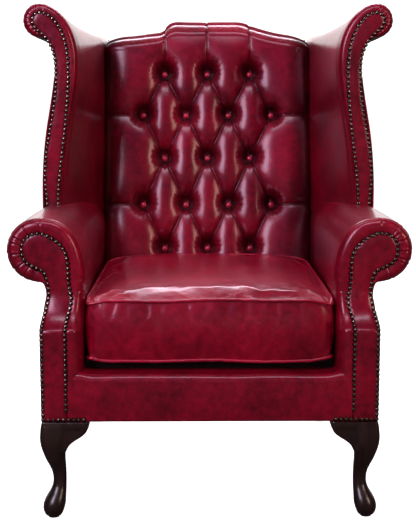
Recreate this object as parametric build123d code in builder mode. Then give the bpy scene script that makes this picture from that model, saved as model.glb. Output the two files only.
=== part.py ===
from build123d import *
import os
from math import atan2, ceil, cos, hypot, radians, sin, tan

# High-backed wing chair with scroll arms, a deep-buttoned raked back, a loose seat cushion and
# cabriole front legs. Millimetres. The chair faces -Y and stands on z = 0, and the origin lies
# on the floor below the middle of the whole chair. Left is -X.

os.makedirs("parts", exist_ok=True)

# Main body
front_to_origin = 406
body_half_width = 347.5
leg_height = 209
clearance = 0.3
overrun = 5
leather_panel = 4

# Seat frame
rail_height = 75
rail_thickness = 28
front_padding = 12
border_padding = 24
border_depth = 74
border_roll = 16
facing_line_inner = 295
block_size = 80
block_height = 45

# Seat deck and springs
deck_thickness = 40
wire_radius = 1.9
clip_height = 5.4
clip_size = 14
spring_count = 5
spring_spread = 200
spring_swing = 22
spring_step = 27

# Back
rake = 10.7
kink_height = 344
seat_reach = 549
back_half_width = 255.5
back_pad_thickness = 90
webbing_thickness = 1.5
webbing_width = 50
webbing_count = 4
post_width = 24
post_inset = 2
post_depth = 43
post_top = 954
crest_height = 1034
crest_corner = 999
crest_flat_half = 100
crest_shoulder_half = 165
crest_roll = 34

# Deep buttoning
button_gap = 106
button_rows = (909, 808, 703, 589, 482)
button_radius = 8
button_height = 6
well_depth = 30
well_mouth = 25
pleat_depth = 15
pleat_half_width = 11

# Arms
arm_roll_radius = 65
arm_roll_radius_rear = 26
arm_roll_x = 350
arm_roll_x_rear = 342
arm_top = 624
arm_top_rear = 602
arm_inner = 256
arm_lower_inner = 260
arm_belly_height = 491
ledge_height = 401
cutback = 45
cutback_height = 83
neck_x = 337.5
neck_drop = 20.5
facing_thickness = 5
board_thickness = 20
stump_depth = 75
arm_rail_width = 72
arm_rail_thickness = 25
arm_end_padding = 8
arm_post_depth = 40
arm_post_cover = 3

# Wings
wing_face_reach = 345
wing_junction_reach = 650
wing_end_reach = 850
wing_top = 1067
wing_top_rear = 1004
wing_roll_radius = 38
wing_roll_radius_rear = 19
wing_roll_x = 375
wing_roll_x_rear = 300
wing_neck_x = 345
wing_neck_x_rear = 296
wing_neck_height = 904
wing_foot_x = 376
wing_foot_x_rear = 316
wing_inner_x = 291
wing_inner_height = 944
wing_inner_height_rear = 982
wing_inner_foot_x = 331
wing_base = 564
wing_rail_width = 14
wing_rail_height = 34
wing_rail_top = 950

# Nails
nail_radius = 4.7
nail_height = 3.2
shank_radius = 0.9
shank_length = 11
nail_pitch = 10.5
nail_edge = 2
nail_side_margin = 5.5
nail_bottom_margin = 5.5

# Legs
leg_top_size = 98
leg_top_thickness = 14
leg_post = 51
ear_inset = 2
ear_thickness = 38
ear_drop = 52
rear_leg_top = 46
rear_leg_foot = 32
rear_leg_rake = 66
glide_radius = 11
glide_thickness = 3
bolt_radius = 4
bolt_rise = 40
cover_thickness = 1

# Loose cushion
cushion_front_reach = 32
cushion_back_gap = 10
cushion_half_width = 250.5
cushion_half_width_rear = 238
cushion_seam_low = 338
boxing_height = 118
cushion_crown = 34
cushion_belly = 7
leather = 3
piping_radius = 3
piping_corner = 5
zip_half_length = 190
zip_tape_width = 24
zip_tape = 1.2
zip_teeth_width = 6
zip_teeth = 1.6
slider_length = 10
slider_width = 11
slider_thickness = 3.4
tab_length = 24
tab_thickness = 1.4

# Shares chosen by eye: how sizes change from one end of a piece to the other
crown_shares = (
    (0, 0.1, 0.15), (0.12, 0.76, 0.9), (0.38, 1, 1), (0.68, 1, 1), (0.9, 0.78, 0.9), (1, 0.15, 0.15),
)
arm_shoulder_shares = ((0.55, 0.895), (0.843, 0.624))
arm_shoulder_rear_shares = ((0.70, 0.95), (0.944, 0.737))
arm_flare_shares = ((0.29, 0.42), (1, 1))
wing_station_shares = (0, 0.33, 0.66, 1)
wing_drop_shares = (0, 0.43, 0.76, 1)
wing_shoulder_share = (0.63, 0.25)
wing_belly_share = (0.525, 0.395)
wing_hip_shares = ((0, 0.28), (0.32, 0.63))
wing_rail_share = 0.58
outline_places = 40

# The nail line of an arm's scroll, from its outer neck over the top to its inner neck, as
# shares of the roll's radius from the roll's centre
arm_nail_shares = (
    (-0.285, -1.54), (-0.245, -0.877), (-0.14, -0.645), (0.165, -0.49), (0.42, -0.292), (0.51, 0.015),
    (0.369, 0.4), (0.025, 0.538), (-0.415, 0.392), (-0.79, 0.015), (-0.9, -0.538), (-0.93, -1.15),
    (-0.985, -1.43),
)
# The nail line of a wing, from its outer foot over the scroll to its inner foot, as shares of
# the wing's outermost half width and of its rise above the arm
wing_nail_shares = (
    (0.893, 0.079), (0.886, 0.237), (0.84, 0.476), (0.823, 0.632), (0.838, 0.767),
    (0.889, 0.842), (0.935, 0.883), (0.947, 0.912), (0.927, 0.946), (0.891, 0.951),
    (0.835, 0.919), (0.785, 0.842), (0.76, 0.711), (0.762, 0.576), (0.783, 0.37), (0.809, 0.181),
)
wing_nail_foot_shares = (0.886, 0.826)
# A front leg from its foot to its top: shares of its height, then width, reach past the body's
# corner and rounding of its corners as shares of the leg's post
leg_shares = (
    (0, 0.58, -0.12, 0.49), (0.042, 0.79, -0.01, 0.49), (0.097, 0.895, 0.02, 0.49),
    (0.153, 0.88, -0.03, 0.49), (0.209, 0.773, -0.145, 0.49), (0.257, 0.657, -0.27, 0.49),
    (0.311, 0.565, -0.365, 0.49),
    (0.369, 0.55, -0.386, 0.49), (0.432, 0.576, -0.36, 0.49), (0.51, 0.67, -0.26, 0.45),
    (0.587, 0.785, -0.13, 0.4), (0.675, 0.908, -0.016, 0.35), (0.752, 0.98, 0.055, 0.3),
    (0.83, 1.01, 0.076, 0.26), (0.91, 1.0, 0.05, 0.22), (0.96, 0.99, 0.02, 0.2),
)
ear_shares = ((0.233, 0.325), (0.773, 0.65))

# Worked out from the sizes above
front_y = -front_to_origin
rail_top = leg_height + rail_height
border_top = rail_top + border_padding
frame_half = body_half_width - leather_panel - clearance
rail_front_y = front_y + front_padding
rail_inner_x = frame_half - rail_thickness
post_inner_x = arm_inner + post_inset
spring_z = rail_top + clip_height - wire_radius
deck_bottom = rail_top + clip_height + clearance
deck_top = deck_bottom + deck_thickness
arm_roll_z = arm_top - arm_roll_radius
scroll_y = front_y + cutback
post_front_w = -(back_pad_thickness + clearance + webbing_thickness)
post_rear_w = post_front_w - post_depth
panel_front_w = post_rear_w - clearance
panel_rear_w = panel_front_w - leather_panel
wing_face_y = front_y + wing_face_reach
wing_half_width = wing_roll_x + wing_roll_radius
wing_rise = wing_top - arm_top
arm_post_outer = neck_x - leather_panel - arm_post_cover
arm_post_inner = arm_post_outer - rail_thickness
rear_limit_y = front_y + wing_end_reach
arm_rail_bottom = arm_top - arm_roll_radius - 0.4 * arm_rail_thickness
arm_rail_top = arm_rail_bottom + arm_rail_thickness
arm_rail_inner = post_inner_x + post_width


def back_y(z, w):
    """Depth of the plane that lies w in front of the inside back: upright below, raked above."""
    return front_y + seat_reach + max(z - kink_height, 0) * tan(radians(rake)) - w / cos(radians(rake))


back_rail_rear_y = back_y(rail_top, post_rear_w)
arm_rail_rear_y = back_y(arm_rail_bottom, post_rear_w) - arm_end_padding
back_rail_front_y = back_rail_rear_y - rail_thickness
back_face = Plane(
    origin=(0, back_y(kink_height, 0), kink_height),
    x_dir=(1, 0, 0),
    z_dir=(0, -cos(radians(rake)), sin(radians(rake))),
)


def mix(front, rear, share):
    """A size part of the way between its front and its rear value."""
    return front + (rear - front) * share


def finish(piece, name):
    """Labels a finished piece and writes its file."""
    piece.part.label = name
    export_step(piece.part, f"parts/{name}.step")


def finish_pair(piece, name):
    """Writes a right-hand piece and its mirror image."""
    finish(piece, f"{name}_right")
    with BuildPart() as other:
        mirror(piece.part, about=Plane.YZ)
    finish(other, f"{name}_left")


def box_between(low, high):
    """A plain block between two corners."""
    with BuildPart() as block:
        with BuildSketch(Plane.XY.offset(low[2])):
            with Locations(((low[0] + high[0]) / 2, (low[1] + high[1]) / 2)):
                Rectangle(high[0] - low[0], high[1] - low[1])
        extrude(amount=high[2] - low[2])
    return block


def raked_strip(x, low_z, high_z, front_w, rear_w):
    """Side view of a board in the back, at one side: upright below the kink, raked above it."""
    heights = [low_z, high_z]
    if low_z < kink_height < high_z:
        heights.insert(1, kink_height)
    front_points = [(back_y(z, front_w), z) for z in heights]
    rear_points = [(back_y(z, rear_w), z) for z in reversed(heights)]
    with BuildSketch(Plane.YZ.offset(x)) as strip:
        with BuildLine():
            Polyline(*front_points, *rear_points, close=True)
        make_face()
    return strip.sketch


def raked_board(low_z, high_z, front_w, rear_w, low_x, high_x):
    """A board of the back between two heights, two depths and two sides."""
    with BuildPart() as board:
        extrude(raked_strip(low_x, low_z, high_z, front_w, rear_w), amount=high_x - low_x)
    return board


# Seat frame: four beech rails with glued blocks in the corners.
front_seat_rail = box_between(
    (-rail_inner_x, rail_front_y, leg_height), (rail_inner_x, rail_front_y + rail_thickness, rail_top)
)
finish(front_seat_rail, "front_seat_rail")

back_seat_rail = box_between(
    (-rail_inner_x, back_rail_front_y, leg_height), (rail_inner_x, back_rail_rear_y, rail_top)
)
finish(back_seat_rail, "back_seat_rail")

side_seat_rail = box_between(
    (rail_inner_x, rail_front_y, leg_height), (frame_half, back_rail_rear_y, rail_top)
)
finish_pair(side_seat_rail, "side_seat_rail")

corner_front_y = rail_front_y + rail_thickness
with BuildPart() as corner_blocks:
    with BuildSketch(Plane.XY.offset(leg_height)):
        for side in (-1, 1):
            for corner_y, toward in ((corner_front_y, 1), (back_rail_front_y, -1)):
                with BuildLine():
                    Polyline(
                        (side * rail_inner_x, corner_y),
                        (side * (rail_inner_x - block_size), corner_y),
                        (side * rail_inner_x, corner_y + toward * block_size),
                        close=True,
                    )
                make_face()
    extrude(amount=block_height)
finish(corner_blocks, "corner_blocks")

# Back frame: two raked posts that stand on the back rail, with a rail at the bottom and a
# rail under the crest.
back_post = raked_board(
    rail_top, post_top, post_front_w, post_rear_w, post_inner_x, post_inner_x + post_width
)
finish_pair(back_post, "back_post")

lower_back_rail = raked_board(
    deck_top + clearance, deck_top + clearance + webbing_width, post_front_w, post_front_w - rail_thickness,
    -post_inner_x, post_inner_x,
)
finish(lower_back_rail, "lower_back_rail")

crest_rail = raked_board(
    post_top - webbing_width, post_top, post_front_w, post_front_w - rail_thickness,
    -post_inner_x, post_inner_x,
)
finish(crest_rail, "crest_rail")

# Arm frame: a front post on the side rail and a rail from it back to the back post.
arm_post = box_between(
    (arm_post_inner, front_y + stump_depth, rail_top),
    (arm_post_outer, front_y + stump_depth + arm_post_depth, arm_rail_bottom),
)
finish_pair(arm_post, "arm_post")

arm_rail = box_between(
    (arm_rail_inner, front_y + stump_depth, arm_rail_bottom),
    (arm_rail_inner + arm_rail_width, arm_rail_rear_y, arm_rail_top),
)
finish_pair(arm_rail, "arm_rail")


# Arm: a scroll section that tapers from front to back.
def arm_section(y, share, grow):
    """Front view of an arm at depth y, with every side moved out by grow."""
    radius = mix(arm_roll_radius, arm_roll_radius_rear, share) + grow
    roll_x = mix(arm_roll_x, arm_roll_x_rear, share)
    top_z = mix(arm_top, arm_top_rear, share) + grow
    roll_z = top_z - radius
    inner_x = arm_inner - grow
    shoulders = [
        (
            roll_x - mix(near[0], far[0], share) * (roll_x - inner_x),
            arm_belly_height + mix(near[1], far[1], share) * (top_z - arm_belly_height),
        )
        for near, far in zip(arm_shoulder_shares, arm_shoulder_rear_shares)
    ]
    flare_x = arm_lower_inner - grow
    flares = [
        (
            mix(inner_x, flare_x, across),
            mix(arm_belly_height, ledge_height, down),
        )
        for across, down in arm_flare_shares
    ]
    neck_z = roll_z - radius + grow - neck_drop
    outer_x = body_half_width + grow
    with BuildSketch(Plane.XZ.offset(-y)) as section:
        with BuildLine():
            Line((outer_x, leg_height), (outer_x, ledge_height))
            Spline(
                (outer_x, ledge_height), (neck_x + grow, neck_z), (roll_x, roll_z - radius),
                tangents=((0, 1), (1, 0)),
            )
            TangentArc((roll_x, roll_z - radius), (roll_x + radius, roll_z), tangent=(1, 0))
            TangentArc((roll_x + radius, roll_z), (roll_x, top_z), tangent=(0, 1))
            Spline(
                (roll_x, top_z), *shoulders, (inner_x, arm_belly_height), *flares,
                tangents=((-1, 0), (0, -1)),
            )
            Line(flares[-1], (flare_x, leg_height))
            Line((flare_x, leg_height), (outer_x, leg_height))
        make_face()
    return section.sketch


def arm_form(grow):
    """The whole arm, far longer than needed at the rear."""
    with BuildPart() as form:
        loft(
            sections=[arm_section(front_y, 0, grow), arm_section(front_y + wing_end_reach, 1, grow)],
            ruled=True,
        )
    return form.part


def side_region(inset):
    """Side view of all that lies behind the arm's cut-back front and before the outside back."""
    top_z = wing_top + overrun
    with BuildSketch(Plane.YZ) as region:
        with BuildLine():
            Line((front_y + inset, leg_height - overrun), (front_y + inset, ledge_height))
            TangentArc(
                (scroll_y + inset, ledge_height + cutback_height), (front_y + inset, ledge_height),
                tangent=(0, -1),
            )
            Polyline(
                (scroll_y + inset, ledge_height + cutback_height),
                (scroll_y + inset, top_z),
                (back_y(top_z, post_rear_w), top_z),
                (back_y(kink_height, post_rear_w), kink_height),
                (back_y(kink_height, post_rear_w), leg_height - overrun),
                (front_y + inset, leg_height - overrun),
            )
        make_face()
    return region.sketch


side_reach = wing_half_width + arm_roll_radius


# Arm nail line and facing outline, in the front view.
def arm_nail_points():
    """The scroll part of the line, as places in the front view."""
    return [
        (arm_roll_x + across * arm_roll_radius, arm_roll_z + up * arm_roll_radius)
        for across, up in arm_nail_shares
    ]


nail_outer_x = body_half_width - nail_side_margin
nail_low_z = leg_height + nail_bottom_margin


def arm_scroll_line():
    """The line of nails round the scroll, between the two straight runs."""
    with BuildLine() as line:
        Spline(
            (nail_outer_x, ledge_height), *arm_nail_points(), (facing_line_inner, ledge_height),
            tangents=((0, 1), (0, -1)),
        )
    return line.line


def moved_out(line, amount):
    """Places along a line in the front view, moved to its outer side."""
    places = []
    for index in range(outline_places + 1):
        place = line @ (index / outline_places)
        along = line % (index / outline_places)
        places.append((place.X + along.Y * amount, place.Y - along.X * amount))
    return places


def arm_facing_outline(y, grow):
    """The facing's outline, a little outside the nail line and down to the rail's lower edge."""
    places = moved_out(arm_scroll_line(), nail_edge + grow)
    with BuildSketch(Plane.XZ.offset(-y)) as outline:
        with BuildLine():
            Spline(*places, tangents=((0, 1), (0, -1)))
            Polyline(
                places[-1], (places[-1][0], leg_height - grow), (places[0][0], leg_height - grow), places[0]
            )
        make_face()
    return outline.sketch


def arm_facing_layer(thickness, grow):
    """The part of the arm's front under the facing's outline, to a given depth."""
    with BuildPart() as layer:
        extrude(arm_facing_outline(front_y - overrun, grow), amount=-(cutback + stump_depth))
        extrude(side_region(0), amount=side_reach, mode=Mode.INTERSECT)
        extrude(side_region(thickness), amount=side_reach, mode=Mode.SUBTRACT)
    return layer


arm_facing = arm_facing_layer(facing_thickness, 0)
finish_pair(arm_facing, "arm_facing")

# A scroll board of plywood lies behind the upper part of the facing and takes the nails.
board_low_z = arm_belly_height
board_front_y = scroll_y + facing_thickness + clearance


def arm_board(grow):
    """The scroll board, or its pocket when grown."""
    with BuildPart() as board:
        extrude(
            arm_facing_outline(board_front_y - grow, grow - nail_edge), amount=-(board_thickness + 2 * grow)
        )
        low = box_between(
            (0, board_front_y - overrun, 0),
            (side_reach, board_front_y + board_thickness + overrun, board_low_z - grow),
        )
        add(low.part, mode=Mode.SUBTRACT)
    return board


arm_scroll_board = arm_board(0)
finish_pair(arm_scroll_board, "arm_scroll_board")


# Wing: a scroll section that shrinks and draws in from the facing back to the crest corner.
def wing_section(y, share, drop, outer_cut):
    """Front view of a wing at depth y; outer_cut leaves room for the outside panel."""
    radius = mix(wing_roll_radius, wing_roll_radius_rear, share)
    roll_x = mix(wing_roll_x, wing_roll_x_rear, share)
    top_z = mix(wing_top, wing_top_rear, drop)
    outer_neck = mix(wing_neck_x, wing_neck_x_rear, share) - outer_cut
    foot_x = mix(wing_foot_x, wing_foot_x_rear, share) - outer_cut
    inner_x = mix(wing_inner_x, arm_inner, share)
    inner_z = mix(wing_inner_height, wing_inner_height_rear, share)
    inner_foot = mix(wing_inner_foot_x, arm_inner, share)
    hips = [
        (mix(foot_x, outer_neck, across), mix(wing_base, wing_neck_height, up))
        for across, up in wing_hip_shares
    ]
    shoulder = (mix(roll_x, inner_x, wing_shoulder_share[0]), mix(top_z, inner_z, wing_shoulder_share[1]))
    belly = (mix(inner_x, inner_foot, wing_belly_share[0]), mix(inner_z, wing_base, wing_belly_share[1]))
    with BuildSketch(Plane.XZ.offset(-y)) as section:
        with BuildLine():
            Line((inner_foot, wing_base), (foot_x, wing_base))
            Spline(
                (foot_x, wing_base), *hips, (outer_neck, wing_neck_height), (roll_x, top_z - 2 * radius),
                tangents=((0, 1), (1, 0)),
            )
            TangentArc((roll_x, top_z - 2 * radius), (roll_x + radius, top_z - radius), tangent=(1, 0))
            TangentArc((roll_x + radius, top_z - radius), (roll_x, top_z), tangent=(0, 1))
            Spline((roll_x, top_z), shoulder, (inner_x, inner_z), tangents=((-1, 0), (0, -1)))
            Spline((inner_x, inner_z), belly, (inner_foot, wing_base), tangents=((0, -1), (0, -1)))
        make_face()
    return section.sketch


wing_stations = [
    (front_y + mix(wing_face_reach, wing_junction_reach, share), share, drop)
    for share, drop in zip(wing_station_shares, wing_drop_shares)
]


def rear_of(front_w):
    """All behind one of the back's planes, as a cutter."""
    top_z = wing_top + overrun
    far_y = front_y + wing_end_reach + arm_roll_radius
    with BuildSketch(Plane.YZ) as region:
        with BuildLine():
            Polyline(
                (back_y(kink_height, front_w), leg_height - overrun),
                (back_y(kink_height, front_w), kink_height),
                (back_y(top_z, front_w), top_z),
                (far_y, top_z),
                (far_y, leg_height - overrun),
                close=True,
            )
        make_face()
    return region.sketch


def wing_nail_line(foot_z):
    """The open line of nails up the outside of a wing, round its scroll and down the inside."""
    places = [(across * wing_half_width, arm_top + up * wing_rise) for across, up in wing_nail_shares]
    outer_foot = (wing_nail_foot_shares[0] * wing_half_width, foot_z)
    inner_foot = (wing_nail_foot_shares[1] * wing_half_width, foot_z)
    with BuildLine() as line:
        Spline(outer_foot, *places, inner_foot, tangents=((0, 1), (0, -1)))
    return line.line


def wing_facing_outline(y, grow, foot_z):
    """The facing's outline, a little outside the nail line."""
    places = moved_out(wing_nail_line(foot_z), nail_edge + grow)
    with BuildSketch(Plane.XZ.offset(-y)) as outline:
        with BuildLine():
            Spline(*places, tangents=((0, 1), (0, -1)))
            Line(places[-1], places[0])
        make_face()
    return outline.sketch


grown_arm = arm_form(clearance)
with BuildPart() as wing_facing:
    extrude(wing_facing_outline(wing_face_y, 0, wing_base), amount=-facing_thickness)
    add(grown_arm, mode=Mode.SUBTRACT)
finish_pair(wing_facing, "wing_facing")

# The wing's front board of plywood stands on the arm rail behind the facing.
wing_board_front_y = wing_face_y + facing_thickness + clearance
board_foot_z = arm_rail_top + clearance


def wing_board(grow):
    """The wing's front board, or its pocket when grown."""
    with BuildPart() as board:
        extrude(
            wing_facing_outline(wing_board_front_y - grow, grow - nail_edge, board_foot_z - grow),
            amount=-(board_thickness + 2 * grow),
        )
    return board


wing_post = wing_board(0)
finish_pair(wing_post, "wing_post")

# The wing's top rail runs from the front board back and in, then straight back to the post.
wing_rail_front_y = wing_board_front_y + board_thickness
wing_rail_front_x = mix(wing_inner_x, wing_neck_x, wing_rail_share)
wing_rail_rear_x = (arm_inner + wing_neck_x_rear - leather_panel) / 2


def wing_rail_bar(grow):
    """The top rail, or its pocket when grown, cut off at the post."""
    half = wing_rail_width / 2 + grow
    bend_y = front_y + wing_junction_reach
    rear_y = front_y + wing_end_reach
    with BuildPart() as bar:
        with BuildSketch(Plane.XY.offset(wing_rail_top - wing_rail_height - grow)):
            with BuildLine():
                Polyline(
                    (wing_rail_front_x - half, wing_rail_front_y), (wing_rail_rear_x - half, bend_y),
                    (wing_rail_rear_x - half, rear_y), (wing_rail_rear_x + half, rear_y),
                    (wing_rail_rear_x + half, bend_y), (wing_rail_front_x + half, wing_rail_front_y),
                    close=True,
                )
            make_face()
        extrude(amount=wing_rail_height + 2 * grow)
        extrude(rear_of(post_front_w), amount=side_reach, mode=Mode.SUBTRACT)
    return bar


wing_rail = wing_rail_bar(0)
finish_pair(wing_rail, "wing_rail")

post_pocket = raked_board(
    leg_height, post_top + clearance, -back_pad_thickness, post_rear_w - overrun,
    0, arm_rail_inner + clearance,
)
back_room = raked_board(
    leg_height, arm_top, clearance, -back_pad_thickness - clearance, 0, back_half_width + clearance
)


def wing_form(outer_cut):
    """The whole wing, far longer than needed at the rear; outer_cut leaves room for the panel."""
    sections = [wing_section(y, share, drop, outer_cut) for y, share, drop in wing_stations]
    with BuildPart() as form:
        loft(sections=sections, ruled=True)
        extrude(sections[-1], amount=-(wing_end_reach - wing_junction_reach))
    return form


wing_facing_room = extrude(
    wing_facing_outline(wing_face_y - overrun, clearance, wing_base),
    amount=-(overrun + facing_thickness + clearance),
)


def wing_panel(outer_cut, inner_cut, top_z):
    """A layer on the outside of the wing, up to a height."""
    above = box_between(
        (0, wing_face_y - overrun, top_z), (side_reach, rear_limit_y + overrun, wing_top + overrun)
    )
    with BuildPart() as layer:
        add(wing_form(outer_cut).part)
        add(above.part, mode=Mode.SUBTRACT)
        add(wing_form(inner_cut).part, mode=Mode.SUBTRACT)
    return layer


with BuildPart() as wing_pad:
    add(wing_form(0).part)
    add(wing_panel(-overrun, leather_panel, wing_neck_height + clearance).part, mode=Mode.SUBTRACT)
    extrude(rear_of(post_rear_w), amount=side_reach, mode=Mode.SUBTRACT)
    add(grown_arm, mode=Mode.SUBTRACT)
    add(post_pocket.part, mode=Mode.SUBTRACT)
    add(wing_board(clearance).part, mode=Mode.SUBTRACT)
    add(wing_facing_room, mode=Mode.SUBTRACT)
    add(wing_rail_bar(clearance).part, mode=Mode.SUBTRACT)
finish_pair(wing_pad, "wing_pad")

# The outside of a wing is a leather panel on card, from the arm up to the neck of the roll.
with BuildPart() as outside_wing:
    add(wing_panel(0, leather_panel - clearance, wing_neck_height).part)
    extrude(rear_of(post_rear_w), amount=side_reach, mode=Mode.SUBTRACT)
    add(grown_arm, mode=Mode.SUBTRACT)
    add(wing_board(clearance).part, mode=Mode.SUBTRACT)
    add(wing_facing_room, mode=Mode.SUBTRACT)
finish_pair(outside_wing, "outside_wing")

# Arm pad: foam and leather over the arm frame, hollow on its outer side behind the panel.
facing_pocket = arm_facing_layer(facing_thickness + clearance, clearance)
hollow_low = box_between(
    (0, rail_front_y - clearance, 0), (frame_half + clearance, rear_limit_y, rail_top + clearance)
)
hollow_side = box_between(
    (arm_post_inner - clearance, front_y + stump_depth - clearance, 0),
    (arm_post_outer + clearance, rear_limit_y, arm_rail_bottom),
)
hollow_rail = box_between(
    (arm_rail_inner - clearance, front_y + stump_depth - clearance, arm_rail_bottom - clearance),
    (arm_rail_inner + arm_rail_width + clearance, arm_rail_rear_y + clearance, arm_rail_top + clearance),
)
border_room = box_between(
    (0, front_y - overrun, 0),
    (facing_line_inner - nail_edge, front_y + border_depth + clearance, border_top + clearance),
)


def arm_panel(grow):
    """The outside panel under the roll, or the room for it when grown."""
    room = box_between(
        (arm_post_outer, front_y + stump_depth - grow, leg_height - grow),
        (body_half_width + overrun, rear_limit_y, arm_roll_z - arm_roll_radius - clearance + grow),
    )
    with BuildPart() as panel:
        add(arm_form(grow))
        add(room.part, mode=Mode.INTERSECT)
        add(arm_form(-(leather_panel + grow)), mode=Mode.SUBTRACT)
        extrude(rear_of(post_rear_w), amount=side_reach, mode=Mode.SUBTRACT)
    return panel


with BuildPart() as arm_pad:
    add(arm_form(0))
    extrude(side_region(0), amount=side_reach, mode=Mode.INTERSECT)
    add(facing_pocket.part, mode=Mode.SUBTRACT)
    add(arm_board(clearance).part, mode=Mode.SUBTRACT)
    add(hollow_low.part, mode=Mode.SUBTRACT)
    add(hollow_side.part, mode=Mode.SUBTRACT)
    add(arm_panel(clearance).part, mode=Mode.SUBTRACT)
    add(hollow_rail.part, mode=Mode.SUBTRACT)
    add(border_room.part, mode=Mode.SUBTRACT)
    add(post_pocket.part, mode=Mode.SUBTRACT)
    add(back_room.part, mode=Mode.SUBTRACT)
    add(wing_board(clearance).part, mode=Mode.SUBTRACT)
finish_pair(arm_pad, "arm_pad")

outside_arm = arm_panel(0)
finish_pair(outside_arm, "outside_arm")

# Front border: foam and leather over the front rail, rolled along its top.
with BuildPart() as front_border:
    with BuildSketch(Plane.YZ.offset(-(facing_line_inner - nail_edge - clearance))):
        with BuildLine():
            edge_y = rail_front_y - clearance
            Polyline(
                (front_y, border_top - border_roll), (front_y, leg_height), (edge_y, leg_height),
                (edge_y, deck_bottom), (front_y + border_depth, deck_bottom),
                (front_y + border_depth, border_top), (front_y + border_roll, border_top),
            )
            TangentArc(
                (front_y, border_top - border_roll), (front_y + border_roll, border_top), tangent=(0, 1)
            )
        make_face()
    extrude(amount=2 * (facing_line_inner - nail_edge - clearance))
    for side in (-1, 1):
        low_x = min(side * rail_inner_x, side * (arm_lower_inner - clearance))
        high_x = max(side * rail_inner_x, side * (arm_lower_inner - clearance))
        behind = box_between(
            (low_x, front_y + border_depth - overrun, 0),
            (high_x, front_y + border_depth + overrun, rail_top),
        )
        add(behind.part, mode=Mode.SUBTRACT)
finish(front_border, "front_border")

# Seat deck: a flat pad on the springs, between the arms and under the back.
deck_front_y = front_y + border_depth + clearance
deck_rear_y = back_y(kink_height, post_front_w) - clearance
seat_platform = box_between(
    (-(arm_lower_inner - clearance), deck_front_y, deck_bottom),
    (arm_lower_inner - clearance, deck_rear_y, deck_top),
)
finish(seat_platform, "seat_platform")

# Zigzag seat springs from the front rail to the back rail, each end in a clip.
spring_start_y = rail_front_y + rail_thickness / 2
spring_end_y = back_rail_front_y + rail_thickness / 2
spring_turns = ceil((spring_end_y - spring_start_y) / spring_step / 2) * 2
spring_places = [
    mix(-spring_spread, spring_spread, index / (spring_count - 1)) for index in range(spring_count)
]
with BuildPart() as one_spring:
    with BuildLine(Plane.XY.offset(spring_z)):
        swings = [
            (spring_swing * (-1) ** turn, mix(spring_start_y, spring_end_y, (turn + 0.5) / spring_turns))
            for turn in range(spring_turns)
        ]
        wire_path = FilletPolyline(
            (0, spring_start_y), *swings, (0, spring_end_y), radius=spring_step / 3
        )
    with BuildSketch(Plane(origin=wire_path @ 0, z_dir=wire_path % 0)):
        Circle(wire_radius)
    sweep()
with BuildPart() as seat_springs:
    with Locations(*[(x, 0, 0) for x in spring_places]):
        add(one_spring.part)
finish(seat_springs, "seat_springs")

with BuildPart() as spring_clips:
    with BuildSketch(Plane.XY.offset(rail_top)):
        with Locations(*[(x, y) for x in spring_places for y in (spring_start_y, spring_end_y)]):
            Rectangle(clip_size, clip_size)
    extrude(amount=clip_height)
finish(spring_clips, "spring_clips")

# Elastic straps across the back posts, behind the back pad.
strap_low = deck_top + webbing_width + webbing_width / 2
strap_high = post_top - webbing_width * 3
with BuildPart() as back_webbing:
    for index in range(webbing_count):
        strap_z = mix(strap_low, strap_high, index / (webbing_count - 1))
        strap = raked_board(
            strap_z, strap_z + webbing_width, -back_pad_thickness - clearance, post_front_w,
            -(post_inner_x + post_width / 2), post_inner_x + post_width / 2,
        )
        add(strap.part)
finish(back_webbing, "back_webbing")


# Back pad: a thick buttoned pad that rolls over the crest to the outside back.
def back_section(x, top_z):
    """Side view of the pad at one place across the back."""
    low_z = deck_top + clearance
    step_z = post_top + clearance
    front_top = (back_y(top_z - crest_roll, 0), top_z - crest_roll)
    rear_top = (back_y(top_z - crest_roll, panel_rear_w), top_z - crest_roll)
    crest_front = (back_y(top_z, -crest_roll), top_z)
    crest_rear = (back_y(top_z, panel_rear_w + crest_roll), top_z)
    with BuildSketch(Plane.YZ.offset(x)) as section:
        with BuildLine():
            Polyline(
                (back_y(low_z, -back_pad_thickness), low_z), (back_y(low_z, 0), low_z),
                (back_y(kink_height, 0), kink_height), front_top,
            )
            TangentArc(front_top, crest_front, tangent=(tan(radians(rake)), 1))
            Line(crest_front, crest_rear)
            TangentArc(crest_rear, rear_top, tangent=(1, 0))
            Polyline(
                rear_top, (back_y(step_z, panel_rear_w), step_z),
                (back_y(step_z, -back_pad_thickness), step_z),
                (back_y(kink_height, -back_pad_thickness), kink_height),
                (back_y(low_z, -back_pad_thickness), low_z),
            )
        make_face()
    return section.sketch


crest_shoulder = mix(crest_corner, crest_height, 1 / 9)
crest_line = (
    (-back_half_width, crest_corner), (-crest_shoulder_half, crest_shoulder),
    (-crest_flat_half, crest_height), (crest_flat_half, crest_height),
    (crest_shoulder_half, crest_shoulder), (back_half_width, crest_corner),
)


def up_back(z):
    """Distance up the raked face from the kink to a height."""
    return (z - kink_height) / cos(radians(rake))


button_places = []
for row, height in enumerate(button_rows):
    count = 3 + row % 2
    for index in range(count):
        button_places.append((row, (index - (count - 1) / 2) * button_gap, up_back(height)))

pleat_lines = []
for row, x, v in button_places:
    for next_row, next_x, next_v in button_places:
        if next_row == row + 1 and abs(next_x - x) < button_gap:
            pleat_lines.append(((x, v), (next_x, next_v)))
    if row == 0:
        pleat_lines.append(((x, v), (x, up_back(crest_height + overrun))))
    if row == len(button_rows) - 1:
        pleat_lines.append(((x, v), (x, up_back(kink_height))))
    if row % 2 == 1 and abs(x) > button_gap:
        pleat_lines.append(((x, v), (x / abs(x) * (back_half_width + overrun), v)))


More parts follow.
